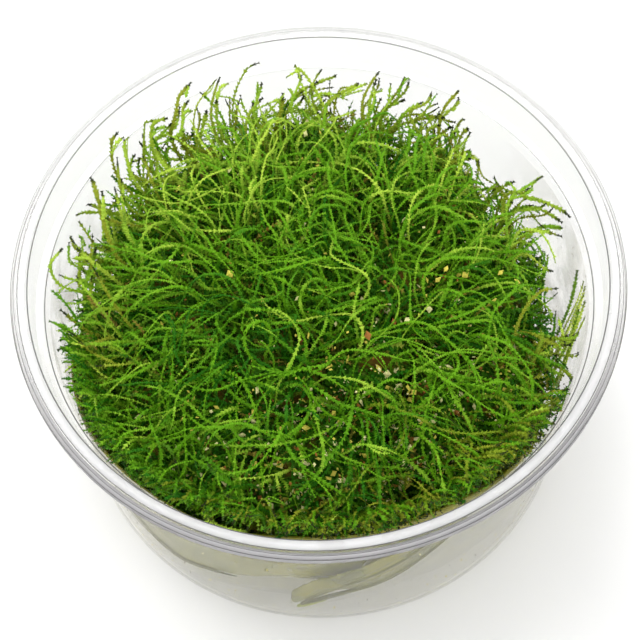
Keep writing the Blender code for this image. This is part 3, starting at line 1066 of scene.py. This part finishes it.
# %% [markdown]
# ## The tuft on the wall
#
# A few pale shoots have left the clump and lean along the wall on the right. They are long and
# straight, so their paths are drawn by a formula: up the wall, and round it by a few degrees.

# %% The wall tuft's shoots
WALL_SHOOTS = 10
WALL_POINTS = 26
WALL_TIP_MM = (32.0, 42.8)
WALL_FOOT_TURN = -0.20
WALL_DUSK = 0.8


def build_wall_tuft(seed):
    rng = np.random.default_rng(seed)
    low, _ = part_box("tuft_wall")
    column = (WALL_SHOOTS, 1)
    share = np.linspace(0.0, 1.0, WALL_POINTS)[None, :]
    foot_z = rng.uniform(low.z / MM, low.z / MM + 6.0, column)
    tip_z = rng.uniform(*WALL_TIP_MM, column)
    height = foot_z + (tip_z - foot_z) * share
    turn = rng.normal(WALL_FOOT_TURN, 0.05, column) + rng.normal(0.11, 0.05, column) * share**1.3
    turn += 0.02 * np.sin(6.0 * share + rng.uniform(0.0, FULL_TURN, column))
    off_wall = rng.uniform(0.9, 1.5, column) + rng.uniform(0.8, 3.0, column) * (1.0 - share)
    paths = round_axis(wall_radius(height * MM) / MM - off_wall, turn, height) * MM
    tone = np.clip(rng.normal(0.5, 0.25, WALL_SHOOTS), 0.0, 1.0)
    numbers = numbers_for(paths, tone, rng, np.full(WALL_SHOOTS, WALL_DUSK))
    numbers["stout"] = rng.uniform(0.95, 1.3, WALL_SHOOTS)
    guide = guides_object("tuft_wall_guides", [(paths, numbers)])
    made = run_tree(guide, SHOOTS, "tuft_wall_shoots", Seed=seed, Material=young_moss, **LEAF)
    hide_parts("tuft_wall")
    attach(made, "root")
    return triangles(made)


print("wall tuft:", build_wall_tuft(SEED + 40), "triangles")

# %% [markdown]
# ## Litter in the gaps
#
# Pale seed-like flakes and rusty crumbs of dead leaf lie in the gaps, most of them towards the front.
# Each is a small closed chip with eight faces: an octahedron pressed flat and turned at random.

# %% Scatter chips over the felt
CHIPS = 1900
CHIP_LIFT_MM = (0.5, 7.5)
CHIP_CORNERS = np.array([(1, 0, 0), (0, 1, 0), (-1, 0, 0), (0, -1, 0), (0, 0, 0.35), (0, 0, -0.35)], float)
UPPER_FACES = [(0, 1, 4), (1, 2, 4), (2, 3, 4), (3, 0, 4)]
LOWER_FACES = [(1, 0, 5), (2, 1, 5), (3, 2, 5), (0, 3, 5)]
CHIP_FACES = np.array(UPPER_FACES + LOWER_FACES)


def chips(name, places, sizes, rng, material):
    """A mesh of flat chips at these places (metres), each turned at random, with a tone of its own."""
    count = len(places)
    axes = np.linalg.qr(rng.normal(0.0, 1.0, (count, 3, 3)))[0]
    corners = CHIP_CORNERS[None, :, :] * sizes[:, None, None] * rng.uniform(0.6, 1.2, (count, 1, 3))
    points = np.einsum("nij,nkj->nki", axes, corners) + places[:, None, :]
    faces = CHIP_FACES[None, :, :] + 6 * np.arange(count)[:, None, None]
    mesh = bpy.data.meshes.new(name)
    mesh.from_pydata(points.reshape(-1, 3).tolist(), [], faces.reshape(-1, 3).tolist())
    tone = mesh.attributes.new("tone", "FLOAT", "POINT")
    tone.data.foreach_set("value", np.repeat(rng.random(count), 6).astype(np.float32))
    turn_outwards(mesh)
    mesh.materials.append(material)
    return linked(name, mesh)


def chip_material(name, colors, roughness):
    """Colours set out evenly along the chip's tone."""
    material, tree, shader = new_material(name, colors[0], roughness)
    ramp = put(tree, "ShaderNodeValToRGB")
    ramp.color_ramp.interpolation = "CONSTANT"
    feed(tree, ramp, 0, own_number(tree, "tone"))
    stops = ramp.color_ramp.elements
    while len(stops) < len(colors):
        stops.new(0.5)
    for index, color in enumerate(colors):
        stops[index].position = index / len(colors)
        stops[index].color = (*color, 1.0)
    feed(tree, shader, "Base Color", ramp.outputs["Color"])
    return material


CREAM = (0.98, 0.92, 0.42)
STRAW = (0.85, 0.74, 0.10)
RUST = (0.40, 0.15, 0.02)
litter_material = chip_material("litter_chips", (CREAM, STRAW, CREAM, STRAW, RUST), 0.7)


def build_litter(rng):
    """Chips on the upper side of every felt body, thicker towards the front."""
    points, normals = [], []
    for felt in felts:
        points += [tuple(v.co) for v in felt.data.vertices]
        normals += [tuple(v.normal) for v in felt.data.vertices]
    points, normals = np.array(points), np.array(normals)
    up = normals[:, 2] > 0.2
    towards_front = np.clip((0.35 * points[:, 0] - points[:, 1]) / MM / 28.0, 0.0, 1.0)
    weight = up * (0.10 + towards_front**1.5)
    chosen = rng.choice(len(points), CHIPS, p=weight / weight.sum())
    from_edge = (40.0 * MM - np.hypot(*points[chosen, :2].T)) / (12.0 * MM)
    lift = rng.uniform(*CHIP_LIFT_MM, (CHIPS, 1)) * MM * np.clip(from_edge, 0.2, 1.0)[:, None]
    places = points[chosen] + normals[chosen] * lift + rng.normal(0.0, 0.4 * MM, (CHIPS, 3))
    return chips("litter", places, (0.22 + 0.60 * rng.random(CHIPS) ** 2) * MM, rng, litter_material)


litter = build_litter(np.random.default_rng(SEED + 60))
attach(litter, "root")
print("litter:", triangles(litter), "triangles")

# %% [markdown]
# ## The gel
#
# The culture gel is a soft, slightly cloudy jelly. It was poured in the tub, and a skin of it climbs
# the front wall, where a loose fold hangs down. The solids give its place; here they are only made
# as soft as jelly is, with a skin that is never quite even.
#
# Subdividing the solid rounds its edges, which a bevel could not do on such a thin skin.

# %% Soften the gel and its flap
WHITE = (1.0, 1.0, 1.0, 1.0)
GEL_LET_THROUGH = (0.62, 0.62, 0.50, 1.0)
GEL_PRESS = 0.4
GEL_PRESSED_BELOW_TOP = 8.0 * MM
GEL_CLEAR = (0.25, 0.235, 0.014, 1.0)
GEL_STREAK = (0.11, 0.12, 0.004, 1.0)


def lamps_shine_through(material, tint=WHITE):
    """A shadow ray meets a Transparent shader with this tint, any other ray the material's own."""
    tree = material.node_tree
    clear = put(tree, "ShaderNodeBsdfTransparent")
    clear.inputs["Color"].default_value = tint
    pick = put(tree, "ShaderNodeMixShader")
    feed(tree, pick, 0, put(tree, "ShaderNodeLightPath").outputs["Is Shadow Ray"])
    tree.links.new(tree.nodes["Principled BSDF"].outputs[0], pick.inputs[1])
    tree.links.new(clear.outputs[0], pick.inputs[2])
    tree.links.new(pick.outputs[0], tree.nodes["Material Output"].inputs["Surface"])


def build_gel_material():
    """Cloudy olive jelly: darker streaks lie in it, and lamps shine through."""
    material, tree, shader = new_material("soft_gel", (0.40, 0.39, 0.17), 0.25, Alpha=0.88)
    cloudy = ranged(tree, noise_value(tree, object_place(tree), 130.0, 3.0), 0.35, 0.70)
    feed(tree, shader, "Base Color", mix_colors(tree, cloudy, GEL_CLEAR, GEL_STREAK))
    lamps_shine_through(material, GEL_LET_THROUGH)
    return material


gel_material = build_gel_material()


def softened(name, label, levels, wave):
    """A copy of the solid, rounded by subdivision, with an uneven skin, its top pressed by the moss."""
    piece = merged_copy(name, label)
    bm = bmesh.new()
    bm.from_mesh(piece.data)
    bmesh.ops.join_triangles(bm, faces=bm.faces[:], angle_face_threshold=0.3, angle_shape_threshold=1.2)
    bm.to_mesh(piece.data)
    bm.free()
    rounding = piece.modifiers.new("rounding", "SUBSURF")
    rounding.levels = rounding.render_levels = levels
    plain_mesh(piece)
    for vertex in piece.data.vertices:
        here = vertex.co / (3.0 * MM)
        ripple = 0.6 * noise.noise(here) + 0.4 * noise.noise(here * 3.1)
        climb = min(1.0, max(0.0, (vertex.co.z - 2.0 * MM) / (3.0 * MM)))
        vertex.co.z += climb * wave * ripple
        vertex.co.z -= GEL_PRESS * max(0.0, vertex.co.z - GEL_TOP_MM * MM + GEL_PRESSED_BELOW_TOP)
    piece.data.materials.clear()
    piece.data.materials.append(gel_material)
    piece.data.shade_smooth()
    return piece


gel = softened("gel", "gel_soft", levels=2, wave=1.3 * MM)
flap = softened("gel_flap", "gel_flap_soft", levels=3, wave=0.8 * MM)
for piece, name in ((gel, "gel"), (flap, "gel_flap")):
    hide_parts(name)
    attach(piece, "root")
print("gel:", triangles(gel) + triangles(flap), "triangles")

# %% [markdown]
# ## Folds and crumbs on the gel
#
# Where the gel's skin is doubled it looks darker: along a fold on the left of the front wall, and in
# slanting pleats on the flap, whose tip ends in a small curl. Each fold is a soft round rib that
# follows a few points on the wall, given as an angle from the front, a height and a thickness.

# %% Ribs along the wall
folds, _, _ = new_material("gel_folds", (0.12, 0.12, 0.025), 0.3, Alpha=0.85)
curl_green, _, _ = new_material("curl_green", (0.40, 0.45, 0.07), 0.4)


def on_wall(angle, height, off):
    """A point this far inside the wall. Angle in degrees from the front, towards the right."""
    radius = float(wall_radius(height)) - off
    turn = math.radians(angle)
    return Vector((radius * math.sin(turn), -radius * math.cos(turn), height))


def tube(name, places, radii, depth, resolution, material, closed=False):
    """A round tube along these places, its radius there being depth times the number in radii."""
    curve = bpy.data.curves.new(name, "CURVE")
    curve.dimensions = "3D"
    curve.bevel_depth = depth
    curve.bevel_resolution = resolution
    curve.use_fill_caps = not closed
    line = curve.splines.new("POLY")
    line.points.add(len(places) - 1)
    line.use_cyclic_u = closed
    for point, place, radius in zip(line.points, places, radii):
        point.co = (*place, 1.0)
        point.radius = radius
    obj = linked(name, curve)
    mesh = evaluated_mesh(obj)
    bpy.data.objects.remove(obj)
    mesh.materials.clear()
    mesh.materials.append(material)
    return linked(name, mesh)


STEPS_A_STOP = 10


def rib(name, stops, off, material):
    """A closed round rib through stops of (angle, height in mm, thickness in mm)."""
    count = (len(stops) - 1) * STEPS_A_STOP + 1
    share = np.linspace(0.0, len(stops) - 1.0, count)
    window = STEPS_A_STOP + 1
    smooth = []
    for column in np.array(stops, float).T:
        eased = np.interp(share, np.arange(len(stops)), column)
        padded = np.pad(eased, window // 2, mode="edge")
        smooth.append(np.convolve(padded, np.ones(window) / window, mode="valid"))
    angles, heights, thicknesses = smooth
    places = [on_wall(angle, height * MM, off) for angle, height in zip(angles, heights)]
    made = tube(name, places, [thickness / 2 * MM for thickness in thicknesses], 1.0, 2, material)
    made.data.shade_smooth()
    return made


FOLD_LINE = (
    (-62, 20, 0.2),
    (-55, 15, 0.4),
    (-48, 11.5, 0.6),
    (-41, 9.0, 0.7),
    (-36, 9.0, 0.6),
    (-28, 12.6, 0.4),
    (-21, 14.8, 0.2),
)
FLAP_PLEATS = (
    ((-8.3, 5.0, 0.5), (-3, 9.5, 0.9), (4, 13.2, 0.7), (12, 15.6, 0.8), (20, 22.0, 0.6), (29, 29.0, 0.3)),
    ((-8.0, 5.6, 0.4), (-4, 11.5, 0.5), (3, 17.0, 0.8), (12, 22.0, 1.2), (22, 29.5, 0.5)),
    ((-7.5, 7.5, 0.3), (-1, 15.5, 0.4), (8, 21.5, 0.6), (18, 29.0, 0.3)),
)
CURL = ((-8.6, 4.4, 0.5), (-7.2, 5.4, 0.8), (-4.5, 7.4, 0.7), (-1.5, 9.2, 0.35))
RIB_OFF_WALL = 0.55 * MM
CURL_OFF_WALL = 0.45 * MM
ribs = [rib("gel_fold", FOLD_LINE, RIB_OFF_WALL, folds)]
ribs += [rib(f"gel_pleat_{i}", stops, RIB_OFF_WALL, folds) for i, stops in enumerate(FLAP_PLEATS, 1)]
ribs.append(rib("gel_curl", CURL, CURL_OFF_WALL, curl_green))
for piece in ribs:
    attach(piece, "root")
print("ribs:", sum(triangles(piece) for piece in ribs), "triangles")

# %% Crumbs on the wall
CRUMBS = 240
CRUMB_MM = (0.08, 0.22)
CRUMB_OFF_WALL = 0.25 * MM
BARK = (0.07, 0.035, 0.012)
GREY = (0.25, 0.24, 0.20)


def wall_crumbs(rng):
    """Dark and pale crumbs low on the front wall and, fewer, all round."""
    in_front = rng.random(CRUMBS) < 0.6
    angle = np.where(in_front, rng.uniform(-60, 65, CRUMBS), rng.uniform(-180, 180, CRUMBS))
    height = 1.5 + 12.0 * rng.random(CRUMBS) ** 1.6 + 20.0 * (rng.random(CRUMBS) < 0.25)
    places = np.array([on_wall(a, h * MM, CRUMB_OFF_WALL) for a, h in zip(angle.tolist(), height.tolist())])
    return chips("wall_crumbs", places, rng.uniform(*CRUMB_MM, CRUMBS) * MM, rng, crumb_material)


crumb_material = chip_material("crumbs", (CREAM, BARK, GREY, STRAW), 0.6)
crumbs = wall_crumbs(np.random.default_rng(SEED + 70))
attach(crumbs, "root")
print("crumbs:", triangles(crumbs), "triangles")

# %% [markdown]
# ## The tub
#
# The real tub is pressed in a mould, and all of it is round, so one profile spun round the axis
# makes it. The solid has flat facets, which show at the edge of a clear wall, so a finer tub takes
# its place.
#
# A formula could place every point, but the Screw modifier spins a drawn profile and closes it at
# the axis. The film and the bands of the rim, further down, are turned in the same way.


# %% Turn a profile
TURN_STEPS = 160


def turned(name, profile, material, closed=False):
    """A profile of (radius, height) in metres, spun round the tub's axis and made a plain mesh."""
    edges = [(i, i + 1) for i in range(len(profile) - 1)]
    if closed:
        edges.append((len(profile) - 1, 0))
    mesh = bpy.data.meshes.new(name)
    mesh.from_pydata([(radius, 0.0, height) for radius, height in profile], edges, [])
    obj = linked(name, mesh)
    screw = obj.modifiers.new("turn", "SCREW")
    screw.steps = screw.render_steps = TURN_STEPS
    screw.use_merge_vertices = True
    screw.merge_threshold = MERGE_WITHIN
    plain_mesh(obj)
    obj.data.materials.append(material)
    return obj


print("one turn:", TURN_STEPS, "steps")

# %% Turn the tub
BEND_RADIUS = 1.2 * MM
COLLAR_TOP = 46.9 * MM
SEAT_RADII = (47.1 * MM, 48.0 * MM, 48.66 * MM)
ROLL_DOWN = ((49.3 * MM, 0.15 * MM), (49.8 * MM, 0.4 * MM))
LIP_DEPTH = 2.0 * MM


def bend_points(radius, height, size, count):
    turns = [math.pi / 2 * i / (count - 1) for i in range(count)]
    return [(radius - size + size * math.sin(t), height + size - size * math.cos(t)) for t in turns]


def tub_profile():
    """(radius, height) in metres from the floor's middle, up inside, over the rim and down outside."""
    seat = RIM_HEIGHT
    inside = [(0.0, WALL)] + bend_points(float(wall_radius(WALL)), WALL, BEND_RADIUS, 6)
    inside += [
        (SHOULDER_RADIUS - WALL, SHOULDER_HEIGHT - 0.2 * MM),
        (SHOULDER_RADIUS, SHOULDER_HEIGHT),
        (46.3 * MM, SHOULDER_HEIGHT + 0.4 * MM),
        (COLLAR_TOP, seat - 0.4 * MM),
    ]
    rim = [(radius, seat) for radius in SEAT_RADII]
    rim += [(radius, seat - down) for radius, down in ROLL_DOWN]
    rim += [
        (RIM_RADIUS, seat - 0.8 * MM),
        (RIM_RADIUS, seat - LIP_DEPTH),
        (RIM_RADIUS - WALL, seat - LIP_DEPTH),
        (RIM_RADIUS - WALL, seat - 1.2 * MM),
        (48.46 * MM, seat - WALL),
        (47.7 * MM, seat - WALL),
    ]
    outside = [(COLLAR_TOP, SHOULDER_HEIGHT), (45.8 * MM, SHOULDER_HEIGHT - WALL)]
    outside += bend_points(BASE_RADIUS, 0.0, BEND_RADIUS, 6)[::-1] + [(0.0, 0.0)]
    return inside + rim + outside


clear_plastic, _, _ = new_material(
    "tub_plastic", (0.95, 0.93, 0.89), 0.04, Transmission_Weight=1.0, IOR=1.49, Alpha=0.22
)
lamps_shine_through(clear_plastic)
tub = turned("tub_turned", tub_profile(), clear_plastic)
tub.data.shade_smooth()
tub.data.set_sharp_from_angle(angle=math.radians(40))
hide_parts("tub")
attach(tub, "root")
print("tub:", triangles(tub), "triangles")

# %% [markdown]
# ## The film on the wall
#
# Water and gel have dried on the inside of the wall and left a thin beige film in patches. It is
# thickest low down and on the left and right. The back of the tub is clean, and at the very front
# the gel covers the wall.
#
# The film could be dirt in the tub's own material, but then the plastic under it would be dull as
# well. So a sheet a twentieth of a millimetre thick carries it, with its patches in its Alpha.

# %% Dried film
FILM_FOOT_MM = 3.0
FILM_TOP_MM = 39.0
FILM_BANDS = 6
FILM_OFF_WALL = 0.10 * MM
FILM_THICK = 0.05 * MM


def build_film_material():
    material, tree, shader = new_material("dried_film", (0.66, 0.60, 0.50), 0.6)
    place = object_place(tree)
    spread = noise_value(tree, place, 90.0, 5.0)
    flecks = noise_value(tree, place, 900.0, 2.0)
    axes = split_axes(tree, place)
    low_down = ranged(tree, axes["Z"], 0.042, 0.010, 0.60, 1.0)
    not_behind = ranged(tree, axes["Y"], 0.034, 0.006)
    not_foremost = ranged(tree, axes["Y"], -0.038, -0.020)
    beside = math_node(tree, "MULTIPLY", not_behind, not_foremost)
    smear = ranged(tree, spread, 0.40, 0.66, 0.03, 0.32)
    fleck = ranged(tree, flecks, 0.66, 0.74, 0.0, 0.25)
    film = math_node(tree, "ADD", smear, fleck)
    place_share = math_node(tree, "MULTIPLY", low_down, beside)
    feed(tree, shader, "Alpha", math_node(tree, "MULTIPLY", film, place_share, clamp=True))
    return material


def build_film():
    """A thin sheet from the floor's edge up to near the shoulder, both faces and both rims closed."""
    span = (FILM_TOP_MM - FILM_FOOT_MM) * MM
    heights = [FILM_FOOT_MM * MM + span * i / FILM_BANDS for i in range(FILM_BANDS + 1)]
    outer = [(float(wall_radius(height)) - FILM_OFF_WALL, height) for height in heights]
    inner = [(radius - FILM_THICK, height) for radius, height in outer][::-1]
    material = build_film_material()
    lamps_shine_through(material)
    film = turned("tub_film", outer + inner, material, closed=True)
    turn_outwards(film.data)
    film.data.shade_smooth()
    return film


film = build_film()
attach(film, "root")
print("film:", triangles(film), "triangles")

# %% [markdown]
# ## The painted lines and bands of the rim
#
# A clear rim shows as lines: wherever the plastic bends sharply it gathers the dark of the room, and
# its level seat reflects the light above. Thin grey rings along the bends paint those dark lines, a
# pale band on the seat paints its highlight, and grey bands on the lip paint the shade on its outer face.
#
# More plastic stands behind the near side of the rim than behind the far side, so the lines are
# strong at the front and faint at the back. Their Alpha fades along Y for that, so this painted
# reflection and shade is strongest at the front.


# %% Dark lines of the rim, painted as grey rings
EDGE_GREY = (0.16, 0.16, 0.155)


def fading_painted_reflection(name, base, roughness, at_back, at_front, fade_mm=(40.0, -20.0)):
    """Painted reflection on the plastic, whose Alpha changes from the back of the tub to its front, between
    these places on Y.
    """
    material, tree, shader = new_material(name, base, roughness)
    along_y = split_axes(tree, object_place(tree))["Y"]
    fade = ranged(tree, along_y, fade_mm[0] * MM, fade_mm[1] * MM, at_back, at_front)
    feed(tree, shader, "Alpha", fade)
    return material


# Grey rings paint the dark lines that the clear rim shows at its bends. They are painted reflection,
# strongest at the front.
painted_edge_line = fading_painted_reflection("painted_edge_line", EDGE_GREY, 0.25, 0.55, 0.80)
painted_shoulder_line = fading_painted_reflection("painted_shoulder_line", EDGE_GREY, 0.25, 0.10, 0.95)
painted_rim_line = fading_painted_reflection("painted_rim_line", EDGE_GREY, 0.25, 0.18, 0.85, fade_mm=(40.0, -44.0))
LINE_RINGS = (
    # radius, height and thickness in millimetres, from the foot of the collar outwards, and finish
    (45.40, 41.0, 0.18, painted_shoulder_line),
    (47.10, 47.40, 0.20, painted_edge_line),
    (48.70, 47.40, 0.14, painted_rim_line),
    (49.35, 47.10, 0.10, painted_rim_line),
    (49.90, 46.70, 0.14, painted_rim_line),
    (49.90, 45.50, 0.14, painted_rim_line),
)


def ring(name, radius, height, thickness, material):
    turns = [math.tau * index / TURN_STEPS for index in range(TURN_STEPS)]
    places = [(radius * math.cos(turn), radius * math.sin(turn), height) for turn in turns]
    return tube(name, places, [1.0] * TURN_STEPS, thickness / 2, 1, material, closed=True)


for number, (radius, height, thickness, finish) in enumerate(LINE_RINGS, 1):
    line_ring = ring(f"tub_ridge_{number}", radius * MM, height * MM, thickness * MM, finish)
    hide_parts("tub")
    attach(line_ring, "root")
print(len(LINE_RINGS), "ridges")

# %% Bands on the seat and on the lip: painted highlight and painted shade
# The pale seat band is a painted highlight, the reflection of the light above on the level seat. The grey
# lip bands are painted shade on the lip's outer face. Both fade out towards the back.
seat_highlight = fading_painted_reflection("painted_seat_highlight", (0.84, 0.84, 0.85), 0.4, 0.0, 0.7, fade_mm=(10.0, -40.0))
painted_lip_shade = fading_painted_reflection("painted_lip_shade", (0.56, 0.55, 0.57), 0.35, 0.05, 0.85, fade_mm=(0.0, -42.0))
BANDS = (
    # name, inner and outer radius, lower and upper height, all in millimetres, and finish
    ("tub_seat", 47.20, 48.62, 47.36, 47.50, seat_highlight),
    ("tub_lip", 49.88, 50.0, 45.55, 46.60, painted_lip_shade),
    ("tub_slope", 48.80, 49.80, 46.52, 46.60, painted_lip_shade),
)

for name, inner, outer, low, high, finish in BANDS:
    corners = [(outer, low), (outer, high), (inner, high), (inner, low)]
    band = turned(name, [(radius * MM, height * MM) for radius, height in corners], finish, closed=True)
    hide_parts("tub")
    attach(band, "root")
print(len(BANDS), "bands")

# %% [markdown]
# ## Clearing up, floor, light and camera
#
# The leaf pair was only a pattern for the shoots, so it goes. The tub stands on a plain pale floor
# under one large key light from behind and a larger, weaker one from the front right, in an even
# white world. That is how a small clear thing is lit: soft light shows its edges as grey lines, and
# a hard lamp would put glare on its wall. The camera looks steeply down into the tub.

# %% Remove the leaf
bpy.data.objects.remove(leaf_pair)


# %% Floor, light and camera
FLOOR_SIDE = 1.5
FLOOR_BELOW = 0.2 * MM
LIGHTS_AIM = (0.0, 0.0, 0.03)


def build_floor():
    mesh = bpy.data.meshes.new("floor")
    corners = [(x * FLOOR_SIDE, y * FLOOR_SIDE, 0.0) for x, y in ((-1, -1), (1, -1), (1, 1), (-1, 1))]
    mesh.from_pydata(corners, [], [(0, 1, 2, 3)])
    floor = linked("floor", mesh)
    floor.location.z = -FLOOR_BELOW
    material, _, _ = new_material("pale_floor", (0.96, 0.96, 0.96), 0.8)
    mesh.materials.append(material)


def area_light(name, place, size, power):
    """A square white light that is aimed at the clump."""
    light = bpy.data.lights.new(name, "AREA")
    light.shape = "SQUARE"
    light.size = size
    light.energy = power
    obj = linked(name, light)
    obj.location = place
    obj.rotation_euler = (Vector(LIGHTS_AIM) - Vector(place)).to_track_quat("-Z", "Y").to_euler()


CAMERA_PITCH = math.radians(61.2)
CAMERA_ROLL = math.radians(-2.925)
CAMERA_PLACE = (0.0, -125.77 * MM, 257.85 * MM)


def build_camera():
    """The camera looks steeply down from the front, slightly turned about its own axis."""
    forward = Vector((0.0, math.cos(CAMERA_PITCH), -math.sin(CAMERA_PITCH)))
    up = Vector((0.0, math.sin(CAMERA_PITCH), math.cos(CAMERA_PITCH)))
    right = Vector((1.0, 0.0, 0.0))
    rolled_right = math.cos(CAMERA_ROLL) * right + math.sin(CAMERA_ROLL) * up
    rolled_up = -math.sin(CAMERA_ROLL) * right + math.cos(CAMERA_ROLL) * up
    data = bpy.data.cameras.new("camera")
    data.lens = 85.0
    data.sensor_width = 36.0
    data.clip_start = 0.01
    camera = linked("camera", data)
    turn = Matrix((rolled_right, rolled_up, -forward)).transposed().to_4x4()
    camera.matrix_world = Matrix.Translation(CAMERA_PLACE) @ turn
    bpy.context.scene.camera = camera


def build_world():
    world = bpy.data.worlds.new("studio")
    bpy.context.scene.world = world
    world.use_nodes = True
    background = world.node_tree.nodes["Background"]
    background.inputs["Color"].default_value = (1.0, 1.0, 1.0, 1.0)
    background.inputs["Strength"].default_value = 1.05


build_floor()
build_world()
area_light("key", (-0.25, 0.15, 0.6), 0.25, 1.3)
area_light("fill", (0.4, -0.3, 0.5), 0.5, 0.5)
build_camera()
bpy.context.scene.view_settings.view_transform = "Standard"
bpy.context.scene.cycles.transparent_max_bounces = 24
